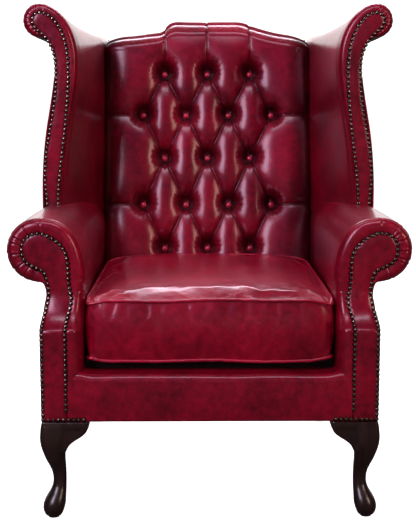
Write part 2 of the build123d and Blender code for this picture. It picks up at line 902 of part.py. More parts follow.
def pleat_cutter(start, end):
    """A V groove along one pleat, sunk into the back's face."""
    along = Vector(end[0] - start[0], end[1] - start[1], 0)
    across = Vector(-along.Y, along.X, 0).normalized()
    origin = back_face.from_local_coords(Vector(start[0], start[1], 0))
    direction = back_face.from_local_coords(Vector(end[0], end[1], 0)) - origin
    side_point = back_face.from_local_coords(Vector(start[0], start[1], 0) + across)
    groove_plane = Plane(origin=origin, x_dir=side_point - origin, z_dir=direction)
    normal_sign = 1 if groove_plane.y_dir.dot(back_face.z_dir) > 0 else -1
    lift = pleat_depth * overrun / pleat_half_width
    with BuildPart() as cutter:
        with BuildSketch(groove_plane):
            with BuildLine():
                Polyline(
                    (-(pleat_half_width + overrun), normal_sign * lift),
                    (pleat_half_width + overrun, normal_sign * lift),
                    (0, -normal_sign * pleat_depth),
                    close=True,
                )
            make_face()
        extrude(amount=direction.length)
    return cutter.part


with BuildPart() as pleats:
    for start, end in pleat_lines:
        add(pleat_cutter(start, end))
    with Locations(*[
        Plane(
            origin=back_face.from_local_coords(Vector(x, v, -well_depth)),
            x_dir=(1, 0, 0),
            z_dir=back_face.z_dir,
        )
        for row, x, v in button_places
    ]):
        Cone(
            button_radius + 1.5 * clearance, well_mouth + overrun,
            well_depth * (1 + overrun / (well_mouth - button_radius)),
            align=(Align.CENTER, Align.CENTER, Align.MIN),
        )

with BuildPart() as back_pad:
    loft(sections=[back_section(x, z) for x, z in crest_line], ruled=True)
    add(pleats.part, mode=Mode.SUBTRACT)
finish(back_pad, "back_pad")

# Leather-covered buttons, one on the floor of each well.
with BuildPart() as button:
    with BuildSketch(Plane.XZ):
        with BuildLine():
            Polyline((0, button_height), (0, 0), (button_radius, 0), (button_radius, button_height / 3))
            TangentArc((0, button_height), (button_radius, button_height / 3), tangent=(1, 0))
        make_face()
    revolve(axis=Axis.Z)
with BuildPart() as back_buttons:
    with Locations(*[
        Plane(
            origin=back_face.from_local_coords(Vector(x, v, -well_depth)),
            x_dir=(1, 0, 0),
            z_dir=back_face.z_dir,
        )
        for row, x, v in button_places
    ]):
        add(button.part)
finish(back_buttons, "back_buttons")

# Outside back: one leather panel, wider at the foot than at the top.
outside_back_edge = (
    (body_half_width, leg_height), (body_half_width, ledge_height), (neck_x, arm_belly_height),
    (wing_foot_x_rear, arm_top), (wing_neck_x_rear, wing_neck_height), (wing_neck_x_rear, post_top),
)
with BuildPart() as outside_back:
    extrude(
        raked_strip(-side_reach, leg_height, post_top, panel_front_w, panel_rear_w), amount=2 * side_reach
    )
    with BuildSketch(Plane.XZ.offset(-back_rail_front_y)):
        with BuildLine():
            Polyline(
                *[(-x, z) for x, z in reversed(outside_back_edge)], *outside_back_edge, close=True
            )
        make_face()
    extrude(amount=-wing_end_reach, mode=Mode.INTERSECT)
finish(outside_back, "outside_back")

# Dust cover: thin black cloth under the seat frame, cut round the legs.
cover_z = leg_height - clearance - cover_thickness
cover_front_y = rail_front_y + clearance
cover_rear_y = back_rail_rear_y - clearance
rear_leg_x = rail_inner_x - rear_leg_top / 2
with BuildPart() as dust_cover:
    with BuildSketch(Plane.XY.offset(cover_z)):
        with Locations((0, (cover_front_y + cover_rear_y) / 2)):
            Rectangle(2 * frame_half, cover_rear_y - cover_front_y)
        with Locations(*[(side * body_half_width, front_y) for side in (-1, 1)]):
            Rectangle(2 * (leg_top_size + clearance), 2 * (leg_top_size + clearance), mode=Mode.SUBTRACT)
        with Locations(*[(side * rear_leg_x, back_rail_rear_y) for side in (-1, 1)]):
            Rectangle(rear_leg_top + 2 * clearance, 2 * (rear_leg_top + clearance), mode=Mode.SUBTRACT)
    extrude(amount=cover_thickness)
finish(dust_cover, "dust_cover")

# Cabriole front leg on the diagonal of the corner: knee out, ankle in, pad foot out again.
foot_centre = body_half_width + (leg_shares[0][2] - leg_shares[0][1] / 2) * leg_post
ear_low_z = leg_height - leg_top_thickness - ear_drop
ear_inner = body_half_width - leg_top_size + ear_inset
ear_post = body_half_width - leg_post * leg_shares[-1][1]
with BuildPart() as front_leg:
    for height, width, reach, round_share in leg_shares:
        size = leg_post * width
        with BuildSketch(Plane.XY.offset(mix(glide_thickness, leg_height, height))):
            with Locations((
                body_half_width + reach * leg_post - size / 2, front_y - reach * leg_post + size / 2
            )):
                RectangleRounded(size, size, size * round_share)
    loft()
    with BuildSketch(Plane.XY.offset(leg_height - leg_top_thickness)):
        with Locations((body_half_width - leg_top_size / 2, front_y + leg_top_size / 2)):
            RectangleRounded(leg_top_size, leg_top_size, leg_top_thickness / 2)
    extrude(amount=leg_top_thickness)
    with BuildSketch(Plane.XZ.offset(-(front_y + ear_inset))):
        with BuildLine():
            Polyline(
                (ear_post, ear_low_z), (ear_post + leg_top_thickness, ear_low_z),
                (ear_post + leg_top_thickness, leg_height - leg_top_thickness / 2),
                (ear_inner, leg_height - leg_top_thickness / 2), (ear_inner, leg_height - leg_top_thickness),
            )
            Spline(
                (ear_inner, leg_height - leg_top_thickness),
                *[
                    (mix(ear_inner, ear_post, across), leg_height - leg_top_thickness - down * ear_drop)
                    for across, down in ear_shares
                ],
                (ear_post, ear_low_z),
                tangents=((0.15, -1), (0.2, -1)),
            )
        make_face()
    ear = extrude(amount=-ear_thickness)
    mirror(ear, about=Plane(origin=(body_half_width, front_y, 0), z_dir=(1, 1, 0)))
finish_pair(front_leg, "front_leg")

# Rear leg: square, tapered and raked backwards.
with BuildPart() as rear_leg:
    with BuildSketch(Plane.XY.offset(glide_thickness)):
        with Locations((rear_leg_x, back_rail_rear_y - rear_leg_top / 2 + rear_leg_rake)):
            Rectangle(rear_leg_foot, rear_leg_foot)
    with BuildSketch(Plane.XY.offset(leg_height)):
        with Locations((rear_leg_x, back_rail_rear_y - rear_leg_top / 2)):
            Rectangle(rear_leg_top, rear_leg_top)
    loft(ruled=True)
finish_pair(rear_leg, "rear_leg")

rear_foot_y = back_rail_rear_y - rear_leg_top / 2 + rear_leg_rake
glide_places = [
    (side * x, y)
    for side in (-1, 1)
    for x, y in ((foot_centre, front_y + body_half_width - foot_centre), (rear_leg_x, rear_foot_y))
]
with BuildPart() as leg_glides:
    with BuildSketch():
        with Locations(*glide_places):
            Circle(glide_radius)
    extrude(amount=glide_thickness)
finish(leg_glides, "leg_glides")

bolt_inset = leg_top_thickness * 0.9
bolt_places = [
    (side * x, y)
    for side in (-1, 1)
    for x, y in (
        (rail_inner_x - bolt_inset, corner_front_y + bolt_inset),
        (rear_leg_x, back_rail_front_y - bolt_radius - bolt_radius),
    )
]
with BuildPart() as leg_bolts:
    with BuildSketch(Plane.XY.offset(leg_height - leg_top_thickness * 0.8)):
        with Locations(*bolt_places):
            Circle(bolt_radius)
    extrude(amount=bolt_rise)
finish(leg_bolts, "leg_bolts")


# Loose cushion: a boxed cushion with a crown, narrower at the back.
cushion_front_y = front_y + cushion_front_reach
cushion_rear_y = back_y(cushion_seam_low, 0) - cushion_back_gap
seam_high = cushion_seam_low + boxing_height


def pillow(inset):
    """The cushion's form, drawn in on every side by inset."""
    with BuildPart() as form:
        for along, crown, belly in crown_shares:
            y = mix(cushion_front_y + inset, cushion_rear_y - inset, along)
            half = mix(cushion_half_width, cushion_half_width_rear, along) - inset
            low = cushion_seam_low + inset
            high = seam_high - inset
            with BuildSketch(Plane.XZ.offset(-y)):
                with BuildLine():
                    Line((-half, low), (-half, high))
                    ThreePointArc((-half, high), (0, high + cushion_crown * crown), (half, high))
                    Line((half, high), (half, low))
                    ThreePointArc((half, low), (0, low - cushion_belly * belly), (-half, low))
                make_face()
        loft()
    return form


cushion_core = pillow(leather + clearance)
finish(cushion_core, "cushion_core")

with BuildPart() as cushion_cover:
    add(pillow(0).part)
    add(pillow(leather).part, mode=Mode.SUBTRACT)
finish(cushion_cover, "cushion_cover")

with BuildPart() as cushion_piping:
    for seam_z in (cushion_seam_low, seam_high):
        with BuildLine(Plane.XY.offset(seam_z)):
            seam = FilletPolyline(
                (cushion_half_width, cushion_front_y), (cushion_half_width_rear, cushion_rear_y),
                (-cushion_half_width_rear, cushion_rear_y), (-cushion_half_width, cushion_front_y),
                radius=piping_corner, close=True,
            )
        with BuildSketch(Plane(origin=seam @ 0, z_dir=seam % 0)):
            Circle(piping_radius)
        sweep()
finish(cushion_piping, "cushion_piping")

# Zip across the rear boxing, and its slider with a hanging tab.
zip_z = cushion_seam_low + boxing_height / 2
teeth_y = cushion_rear_y + zip_tape
slider_y = teeth_y + zip_teeth + clearance
with BuildPart() as cushion_zip:
    with BuildSketch(Plane.XZ.offset(-cushion_rear_y)):
        with Locations((0, zip_z)):
            Rectangle(2 * zip_half_length, zip_tape_width)
    extrude(amount=-zip_tape)
    with BuildSketch(Plane.XZ.offset(-teeth_y)):
        with Locations((0, zip_z)):
            Rectangle(2 * zip_half_length - slider_length, zip_teeth_width)
    extrude(amount=-zip_teeth)
finish(cushion_zip, "cushion_zip")

with BuildPart() as zip_slider:
    with BuildSketch(Plane.XZ.offset(-slider_y)):
        with Locations((-(zip_half_length - slider_length), zip_z)):
            RectangleRounded(slider_length, slider_width, slider_length / 5)
    extrude(amount=-slider_thickness)
    with BuildSketch(Plane.XZ.offset(-(slider_y + slider_thickness - tab_thickness))):
        with Locations((-(zip_half_length - slider_length), zip_z - tab_length / 2)):
            RectangleRounded(slider_length * 0.6, tab_length, slider_length / 4)
    extrude(amount=-tab_thickness)
finish(zip_slider, "zip_slider")

# Nails: domed heads with shanks, set out evenly along the nail lines.
with BuildPart() as nail:
    with BuildSketch(Plane.XZ):
        with BuildLine():
            Polyline(
                (0, nail_height), (0, -shank_length), (shank_radius, -shank_length), (shank_radius, 0),
                (nail_radius, 0),
            )
            TangentArc((0, nail_height), (nail_radius, 0), tangent=(1, 0))
        make_face()
    revolve(axis=Axis.Z)


def arm_front(z):
    """Depth and upward tilt of the arm's front at a height."""
    radius = (cutback ** 2 + cutback_height ** 2) / (2 * cutback)
    rise = ledge_height + cutback_height - z
    if z <= ledge_height:
        return front_y, 0
    if rise <= 0:
        return scroll_y, 0
    tilt = atan2(rise, (radius ** 2 - rise ** 2) ** 0.5)
    return scroll_y - radius + radius * cos(tilt), tilt


def flat_front(y):
    """The same answer for an upright face at one depth."""
    return lambda z: (y, 0)


def evenly_along(points, pitch):
    """Places at an even pitch along a chain of points, both ends included."""
    lengths = [0]
    for near, far in zip(points, points[1:]):
        lengths.append(lengths[-1] + (far - near).length)
    count = max(1, round(lengths[-1] / pitch))
    places = []
    index = 0
    for step in range(count + 1):
        target = lengths[-1] * step / count
        while index < len(points) - 2 and lengths[index + 1] < target:
            index += 1
        span = lengths[index + 1] - lengths[index]
        part = (target - lengths[index]) / span
        places.append(points[index] + (points[index + 1] - points[index]) * part)
    return places


def nail_planes(line, front):
    """A plane for each nail along a line in the front view, on the face that front gives."""
    samples = 600
    points = []
    for index in range(samples + 1):
        place = line @ (index / samples)
        points.append(Vector(place.X, front(place.Y)[0], place.Y))
    planes = []
    for place in evenly_along(points, nail_pitch):
        tilt = front(place.Z)[1]
        planes.append(Plane(origin=place, x_dir=(1, 0, 0), z_dir=(0, -cos(tilt), sin(tilt))))
    return planes


with BuildLine() as arm_line:
    Line((nail_outer_x, nail_low_z), (nail_outer_x, ledge_height))
    add(arm_scroll_line())
    Line((facing_line_inner, ledge_height), (facing_line_inner, nail_low_z))
bottom_row_start = nail_outer_x - nail_pitch
bottom_row_end = body_half_width - leg_top_size + 2 * nail_radius
with BuildLine() as bottom_row:
    Line((bottom_row_start, nail_low_z), (bottom_row_end, nail_low_z))

inner_stop_z = nail_low_z + nail_pitch
with BuildPart() as arm_nails:
    arm_planes = [
        plane for plane in nail_planes(arm_line.line, arm_front)
        if plane.origin.X > facing_line_inner + nail_radius or plane.origin.Z > inner_stop_z
    ]
    with Locations(*arm_planes, *nail_planes(bottom_row.line, arm_front)):
        add(nail.part)
finish_pair(arm_nails, "arm_nails")

wing_nail_foot_z = mix(arm_top, arm_top_rear, wing_face_reach / wing_end_reach) + nail_radius + clearance
with BuildPart() as wing_nails:
    with Locations(*nail_planes(wing_nail_line(wing_nail_foot_z), flat_front(wing_face_y))):
        add(nail.part)
finish_pair(wing_nails, "wing_nails")

print("spring turns", spring_turns, "arm nails", len(arm_nails.part.solids()),
      "wing nails", len(wing_nails.part.solids()), "foot centre", foot_centre)
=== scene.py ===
import math

import bpy
import numpy as np
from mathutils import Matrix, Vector, geometry


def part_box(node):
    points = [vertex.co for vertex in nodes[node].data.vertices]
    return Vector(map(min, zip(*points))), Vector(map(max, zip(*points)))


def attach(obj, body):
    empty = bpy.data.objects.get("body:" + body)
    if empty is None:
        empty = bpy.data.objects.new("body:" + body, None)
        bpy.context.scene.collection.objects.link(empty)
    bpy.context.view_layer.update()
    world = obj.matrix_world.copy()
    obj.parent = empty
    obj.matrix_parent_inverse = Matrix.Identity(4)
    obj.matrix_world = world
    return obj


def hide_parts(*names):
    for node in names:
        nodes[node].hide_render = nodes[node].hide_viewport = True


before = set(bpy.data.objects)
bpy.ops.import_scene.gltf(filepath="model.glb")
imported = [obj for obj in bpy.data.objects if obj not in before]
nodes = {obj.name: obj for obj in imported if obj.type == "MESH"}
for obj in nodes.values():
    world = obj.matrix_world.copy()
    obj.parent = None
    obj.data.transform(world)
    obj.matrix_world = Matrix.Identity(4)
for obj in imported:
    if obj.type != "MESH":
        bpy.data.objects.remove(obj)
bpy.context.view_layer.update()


# Studio
# A plain pale floor and soft studio lights. The camera stands low and nearly straight in front
# of the chair, as the photograph's does.
def placed(name, data):
    """A new object in the scene."""
    thing = bpy.data.objects.new(name, data)
    bpy.context.scene.collection.objects.link(thing)
    return thing


def feed(tree, node, ins):
    """Fills a node's inputs with values, or links other nodes' outputs to them."""
    for key, value in ins.items():
        if isinstance(value, bpy.types.NodeSocket):
            tree.links.new(value, node.inputs[key])
        else:
            node.inputs[key].default_value = value


def add_node(tree, kind, ins=None, **settings):
    """A node with its settings and its inputs."""
    node = tree.nodes.new(kind)
    for key, value in settings.items():
        setattr(node, key, value)
    feed(tree, node, ins or {})
    return node


def worked(tree, operation, *values):
    """Arithmetic on values and other nodes' outputs."""
    return add_node(tree, "ShaderNodeMath", dict(enumerate(values)), operation=operation).outputs[0]


def ranged(tree, value, low, high, from_low=0.0, from_high=1.0):
    """A value moved from one range to another."""
    ends = {"From Min": from_low, "From Max": from_high, "To Min": low, "To Max": high}
    return add_node(tree, "ShaderNodeMapRange", {"Value": value, **ends}).outputs["Result"]


def noise(tree, place, scale, detail=2.0, roughness=0.5, distortion=0.0):
    """Soft random blotches."""
    ins = {"Vector": place, "Scale": scale, "Detail": detail, "Roughness": roughness}
    return add_node(tree, "ShaderNodeTexNoise", {**ins, "Distortion": distortion}).outputs["Fac"]


def object_place(tree, scale=(1, 1, 1)):
    """Object coordinates, stretched."""
    where = add_node(tree, "ShaderNodeTexCoord").outputs["Object"]
    return add_node(tree, "ShaderNodeMapping", {"Vector": where, "Scale": scale}).outputs["Vector"]


def color_steps(tree, value, steps):
    """The colours of (place, colour) pairs along a value."""
    ramp = add_node(tree, "ShaderNodeValToRGB", {"Fac": value})
    while len(ramp.color_ramp.elements) < len(steps):
        ramp.color_ramp.elements.new(1)
    for element, (place, color) in zip(ramp.color_ramp.elements, steps):
        element.position = place
        element.color = (*color, 1)
    return ramp.outputs["Color"]


def new_material(name):
    """An empty node material with its tree and its Principled shader."""
    material = bpy.data.materials.new(name)
    material.use_nodes = True
    return material, material.node_tree, material.node_tree.nodes["Principled BSDF"]


camera_data = bpy.data.cameras.new("camera")
camera_data.lens = 85.4
camera_data.sensor_width = 36
camera_data.sensor_fit = "AUTO"
camera = placed("camera", camera_data)
camera.location = (-0.0284, -2.866, 0.950)
camera.rotation_euler = (math.radians(80.61), 0, math.radians(-0.56))
bpy.context.scene.camera = camera

softboxes = (
    ("light_above", (0.0, 0.5, 2.7), (0.0, -0.1, 0.45), (2.0, 0.9), 50, (0.9, 0.88, 1.0)),
    ("light_behind", (0.0, 1.9, 2.9), (0.0, -0.2, 0.5), (1.9, 0.55), 50, (0.88, 0.86, 1.0)),
    ("light_high", (0.0, -1.6, 2.9), (0.0, -0.3, 0.4), (1.7, 0.35), 22, (0.9, 0.84, 1.0)),
    ("light_window", (-1.75, -2.7, 2.1), (0.0, 0.1, 0.75), (1.2, 1.7), 76, (0.92, 0.78, 1.0)),
    ("light_warm", (2.3, -2.3, 1.6), (0.0, 0.1, 0.6), (0.6, 1.5), 28, (1.0, 0.74, 0.58)),
    ("light_fill", (0.3, -4.0, 0.9), (0.0, 0.0, 0.4), (2.0, 1.2), 34, (1.0, 0.94, 0.95)),
)
for name, place, target, (width, depth), power, tint in softboxes:
    light_data = bpy.data.lights.new(name, "AREA")
    light_data.shape = "RECTANGLE"
    light_data.size = width
    light_data.size_y = depth
    light_data.energy = power
    light_data.color = tint
    light = placed(name, light_data)
    light.location = place
    light.rotation_euler = (Vector(target) - Vector(place)).to_track_quat("-Z", "Y").to_euler()
    light.visible_glossy = name not in ("light_above", "light_fill")

studio_world = bpy.data.worlds.new("studio_world")
studio_world.use_nodes = True
tree = studio_world.node_tree
direction = add_node(tree, "ShaderNodeTexCoord").outputs["Generated"]
side_of_room = add_node(tree, "ShaderNodeSeparateXYZ", {0: direction}).outputs["Y"]
seen = add_node(tree, "ShaderNodeLightPath").outputs["Is Camera Ray"]
brightness = worked(tree, "MAXIMUM", ranged(tree, side_of_room, 0.02, 1.5, 0.5, 0.8), seen)
feed(tree, tree.nodes["Background"], {"Color": (1.0, 1.0, 1.0, 1), "Strength": brightness})
bpy.context.scene.world = studio_world
bpy.context.scene.view_settings.view_transform = "Standard"

floor_paint, tree, shader = new_material("floor_paint")
seen = add_node(tree, "ShaderNodeLightPath").outputs["Is Camera Ray"]
cloudy = noise(tree, object_place(tree), 3.0)
pale = color_steps(tree, cloudy, [(0.3, (0.8, 0.8, 0.805)), (0.7, (0.83, 0.83, 0.83))])
shown = add_node(tree, "ShaderNodeMix", {"Factor": seen}, data_type="RGBA")
feed(tree, shown, {6: (0.03, 0.03, 0.03, 1), 7: pale})
feed(tree, shader, {
    "Base Color": shown.outputs[2], "Emission Color": (1, 1, 1, 1), "Roughness": 0.8,
    "Emission Strength": worked(tree, "MULTIPLY", seen, 0.9),
})
floor_mesh = bpy.data.meshes.new("floor")
floor_mesh.from_pydata([(-60, -40, 0), (60, -40, 0), (60, 90, 0), (-60, 90, 0)], [], [(0, 1, 2, 3)])
floor_mesh.materials.append(floor_paint)
floor = placed("floor", floor_mesh)


# Beech and plywood frame
# Rails, posts and glued corner blocks of raw beech, and plywood boards that take the nails. All
# of it is under the upholstery, so only the seat's underside lets it be seen.
def dented(tree, height, strength, distance):
    """Normals of a finely uneven surface."""
    ins = {"Height": height, "Strength": strength, "Distance": distance}
    return add_node(tree, "ShaderNodeBump", ins).outputs["Normal"]


def wood_material(name, steps, scale, rough, coat, bump):
    """Wood with long grain streaks and fine pores."""
    material, tree, shader = new_material(name)
    place = object_place(tree, scale)
    streak = noise(tree, place, 14.0, 6.0, 0.6, 0.5)
    grain = worked(tree, "MULTIPLY_ADD", noise(tree, place, 90.0, 3.0, 0.7), 0.25, streak)
    feed(tree, shader, {
        "Base Color": color_steps(tree, grain, steps),
        "Roughness": ranged(tree, streak, rough - 0.06, rough + 0.1),
        "Normal": dented(tree, grain, bump, 0.0004), "Coat Weight": coat, "Coat Roughness": 0.18,
    })
    return material


def dress(material, *names):
    """Gives CAD nodes that stay a material; a name that ends in _ stands for both sides."""
    for name in names:
        for node in ([name + "left", name + "right"] if name.endswith("_") else [name]):
            nodes[node].data.materials.clear()
            nodes[node].data.materials.append(material)


beech_tones = [(0.3, (0.42, 0.27, 0.15)), (0.55, (0.56, 0.39, 0.23)), (0.8, (0.64, 0.47, 0.3))]
raw_beech = wood_material("raw_beech", beech_tones, (3, 1, 3), 0.6, 0.0, 0.4)
dress(
    raw_beech, "front_seat_rail", "back_seat_rail", "side_seat_rail_", "corner_blocks", "back_post_",
    "lower_back_rail", "crest_rail", "arm_post_", "arm_rail_", "wing_rail_",
)
plywood_tones = [(0.3, (0.5, 0.36, 0.2)), (0.55, (0.62, 0.46, 0.28)), (0.8, (0.7, 0.55, 0.36))]
raw_plywood = wood_material("raw_plywood", plywood_tones, (2, 6, 1), 0.65, 0.0, 0.4)
dress(raw_plywood, "arm_scroll_board_", "wing_post_")


# Springs, straps and fittings
# Zigzag wire springs in sheet clips, woven elastic across the back, leg bolts, the black cloth
# stapled under the seat and brown glides under the feet.
def metal_material(name, steps, rough, scale, bump):
    """Metal with blotches of tarnish."""
    material, tree, shader = new_material(name)
    blotch = noise(tree, object_place(tree), scale, 5.0, 0.65)
    feed(tree, shader, {
        "Base Color": color_steps(tree, blotch, steps),
        "Roughness": ranged(tree, blotch, rough + 0.15, rough - 0.08),
        "Normal": dented(tree, blotch, bump, 0.0003), "Metallic": 1,
    })
    return material


def cloth_material(name, dark, light, pitch, rough, sheen):
    """Plain woven cloth: two crossed sets of threads."""
    material, tree, shader = new_material(name)
    ins = {"Vector": object_place(tree), "Scale": pitch, "Distortion": 0.6, "Detail": 1.0}
    threads = [add_node(tree, "ShaderNodeTexWave", ins, bands_direction=run).outputs["Fac"] for run in "XY"]
    weave = worked(tree, "MULTIPLY", *threads)
    feed(tree, shader, {
        "Base Color": color_steps(tree, weave, [(0.0, dark), (1.0, light)]), "Roughness": rough,
        "Normal": dented(tree, weave, 0.5, 0.0004), "Sheen Weight": sheen,
    })
    return material


steel_tones = [(0.35, (0.28, 0.27, 0.26)), (0.65, (0.5, 0.5, 0.5))]
zinc_tones = [(0.35, (0.42, 0.43, 0.45)), (0.65, (0.62, 0.63, 0.64))]
spring_wire = metal_material("spring_wire", steel_tones, 0.35, 60, 0.2)
zinc_bolt = metal_material("zinc_bolt", zinc_tones, 0.3, 90, 0.2)
elastic_web = cloth_material("elastic_web", (0.05, 0.045, 0.04), (0.2, 0.18, 0.16), 320, 0.85, 0.2)
black_cloth = cloth_material("black_cloth", (0.01, 0.01, 0.01), (0.04, 0.04, 0.042), 260, 0.9, 0.3)
glide_plastic, tree, shader = new_material("glide_plastic")
speckle = noise(tree, object_place(tree), 160.0, 4.0)
feed(tree, shader, {
    "Base Color": color_steps(tree, speckle, [(0.3, (0.03, 0.02, 0.015)), (0.7, (0.06, 0.045, 0.035))]),
    "Normal": dented(tree, speckle, 0.3, 0.0003), "Roughness": 0.5,
})
dress(spring_wire, "seat_springs", "spring_clips")
dress(zinc_bolt, "leg_bolts")
dress(elastic_web, "back_webbing")
dress(black_cloth, "dust_cover")
dress(glide_plastic, "leg_glides")

# Legs
# Turned and carved cabriole front legs and plain raked rear legs of dark polished mahogany, bolted
# to the corner blocks.
mahogany_tones = [(0.25, (0.004, 0.0015, 0.0012)), (0.5, (0.009, 0.003, 0.0024)), (0.8, (0.02, 0.007, 0.005))]
dark_mahogany = wood_material("dark_mahogany", mahogany_tones, (5, 5, 1), 0.3, 0.3, 0.12)
dress(dark_mahogany, "front_leg_", "rear_leg_")
carving_step = 0.0019
sanding_rounds = 16


def finished_mesh(carrier):
    """The mesh that an object's modifiers make; the object itself goes."""
    bpy.context.view_layer.update()
    graph = bpy.context.evaluated_depsgraph_get()
    mesh = bpy.data.meshes.new_from_object(carrier.evaluated_get(graph))
    bpy.data.objects.remove(carrier)
    return mesh


def kept_piece(name, mesh, body, replaced):
    """A finished piece, tied to its body and to the CAD nodes that it shows."""
    mesh.name = name
    piece = placed(name, mesh)
    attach(piece, body)
    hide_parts(*replaced)
    return piece


for word in ("left", "right"):
    leg = placed("leg_blank", nodes[f"front_leg_{word}"].data.copy())
    block = leg.modifiers.new("block", "REMESH")
    block.mode = "VOXEL"
    block.voxel_size = carving_step
    sanding = leg.modifiers.new("sanding", "SMOOTH")
    sanding.factor = 0.5
    sanding.iterations = sanding_rounds
    carved = finished_mesh(leg)
    carved.materials.clear()
    carved.materials.append(dark_mahogany)
    carved.polygons.foreach_set("use_smooth", [True] * len(carved.polygons))
    kept_piece(f"carved_leg_{word}", carved, "chair", [f"front_leg_{word}"])

# Front border
# A leather-covered roll of foam over the front rail, closed along its top by a soft rounded edge
# and tacked under the rail. It runs between the two arm facings.
front_y = -406.0
leg_height = 209.0
rail_top, border_top = 284.0, 308.0
border_roll, border_half, border_depth = 16.0, 292.5, 74.0


def hide_group():
    """The look of the finished hide: cloudy dye, fine pebble grain and a few long creases."""
    group = bpy.data.node_groups.new("hide", "ShaderNodeTree")
    for label in ("Grain", "Creases"):
        socket = group.interface.new_socket(name=label, in_out="INPUT", socket_type="NodeSocketFloat")
        socket.default_value = 1.0
    for label in ("Tone", "Gloss", "Height"):
        group.interface.new_socket(name=label, in_out="OUTPUT", socket_type="NodeSocketFloat")
    source = group.nodes.new("NodeGroupInput").outputs
    place = object_place(group)
    mottle = noise(group, place, 70.0, 4.0, 0.6, 0.4)
    clouds = worked(group, "MULTIPLY", noise(group, place, 9.0, 4.0, 0.55), 0.55)
    folds = noise(group, place, 26.0, 5.0, 0.5, 1.2)
    pebble = add_node(group, "ShaderNodeTexVoronoi", {"Vector": place, "Scale": 620.0}).outputs["Distance"]
    rise, fall = ranged(group, folds, 0.0, 1.0, 0.47, 0.5), ranged(group, folds, 1.0, 0.0, 0.5, 0.53)
    crease = worked(group, "MULTIPLY", worked(group, "MULTIPLY", rise, fall), source["Creases"])
    grain = worked(group, "MULTIPLY_ADD", pebble, -0.5, noise(group, place, 900.0))
    grain = worked(group, "MULTIPLY", grain, source["Grain"])
    add_node(group, "NodeGroupOutput", {
        "Tone": worked(group, "MULTIPLY_ADD", mottle, 0.45, clouds), "Gloss": mottle,
        "Height": worked(group, "MULTIPLY_ADD", crease, -1.2, grain),
    })
    return group


hide = hide_group()
oxblood_tones = [
    (0.05, (0.007, 0.0001, 0.0004)), (0.34, (0.072, 0.0007, 0.004)),
    (0.6, (0.205, 0.0012, 0.012)), (0.92, (0.38, 0.004, 0.028)),
]


def leather_material(name, grain, creases, coat, by_wear_light_and_shade=0.62, even=0.0):
    """Oxblood hide whose colour follows a per-place attribute: low values paint shade into creases, wells and
    tucks, high values lighten tops and paint small highlights.
    """
    material, tree, shader = new_material(name)
    surface = add_node(tree, "ShaderNodeGroup", node_tree=hide)
    feed(tree, surface, {"Grain": grain, "Creases": creases})
    tone, gloss, height = [surface.outputs[label] for label in ("Tone", "Gloss", "Height")]
    worn = add_node(tree, "ShaderNodeAttribute", attribute_name="worn").outputs["Fac"]
    # Painted light and shade: the attribute moves the colour along the ramp, darker where it is low, lighter
    # where it is high.
    blend = worked(tree, "MULTIPLY_ADD", worn, by_wear_light_and_shade, worked(tree, "ADD", tone, 0.62 * even - 0.385))
    feed(tree, shader, {
        "Base Color": color_steps(tree, blend, oxblood_tones),
        "Roughness": ranged(tree, gloss, 0.3, 0.46, 0.25, 0.75),
        "Normal": dented(tree, height, 0.32, 0.0005), "Specular IOR Level": 0.45,
        "Specular Tint": (1.0, 0.07, 0.3, 1), "Coat Weight": coat, "Coat Roughness": 0.23,
    })
    return material


oxblood = leather_material("oxblood_leather", 1.0, 1.0, 0.75)


def grid_faces(rows, columns, wrap=False):
    """Faces between the rows of a net of places; wrap joins the last column to the first."""
    faces = []
    for row in range(rows - 1):
        for column in range(columns if wrap else columns - 1):
            beside = (column + 1) % columns
            faces.append((
                row * columns + column, row * columns + beside,
                (row + 1) * columns + beside, (row + 1) * columns + column,
            ))
    return faces


def tube_faces(rows, columns):
    """Faces of a wrapped net, closed at both ends."""
    ends = [tuple(reversed(range(columns))), tuple(range((rows - 1) * columns, rows * columns))]
    return grid_faces(rows, columns, True) + ends


def outward(places, faces):
    """True where the faces of a closed net enclose a positive volume."""
    total = 0.0
    for face in faces:
        for second, third in zip(face[1:], face[2:]):
            total += float(np.dot(places[face[0]], np.cross(places[second], places[third])))
    return total > 0


def mark_wear_light_and_shade(mesh, worn):
    """Keeps on a mesh each place's tone of the hide: painted shade in hollows, folds and tucks, and lighter
    tops and painted highlights.
    """
    values = np.broadcast_to(np.asarray(worn, np.float32), (len(mesh.vertices),)).copy()
    mesh.attributes.new("worn", "FLOAT", "POINT").data.foreach_set("value", values)


def make_piece(name, places, faces, worn, material, body, replaced):
    """A closed piece from places in millimetres."""
    if not outward(places, faces):
        faces = [tuple(reversed(face)) for face in faces]
    mesh = bpy.data.meshes.new(name)
    mesh.from_pydata((np.asarray(places) / 1000).tolist(), [], faces)
    mesh.update()
    mark_wear_light_and_shade(mesh, worn)
    mesh.polygons.foreach_set("use_smooth", [True] * len(mesh.polygons))
    mesh.materials.append(material)
    piece = kept_piece(name, mesh, body, replaced)


def ripple(places, size, seed):
    """A smooth random height between about -1 and 1, of a given wavelength."""
    draw = np.random.default_rng(seed)
    total = np.zeros(places.shape[:-1])
    for wave in range(7):
        direction = draw.normal(size=3)
        direction /= np.linalg.norm(direction)
        length = size * draw.uniform(0.7, 1.6)
        total += np.sin(places @ direction * (2 * math.pi / length) + draw.uniform(0, 2 * math.pi))
    return total / 4


def step_between(value, low, high):
    """0 below low, 1 above high, smooth between."""
    share = np.clip((value - low) / (high - low), 0, 1)
    return share * share * (3 - 2 * share)


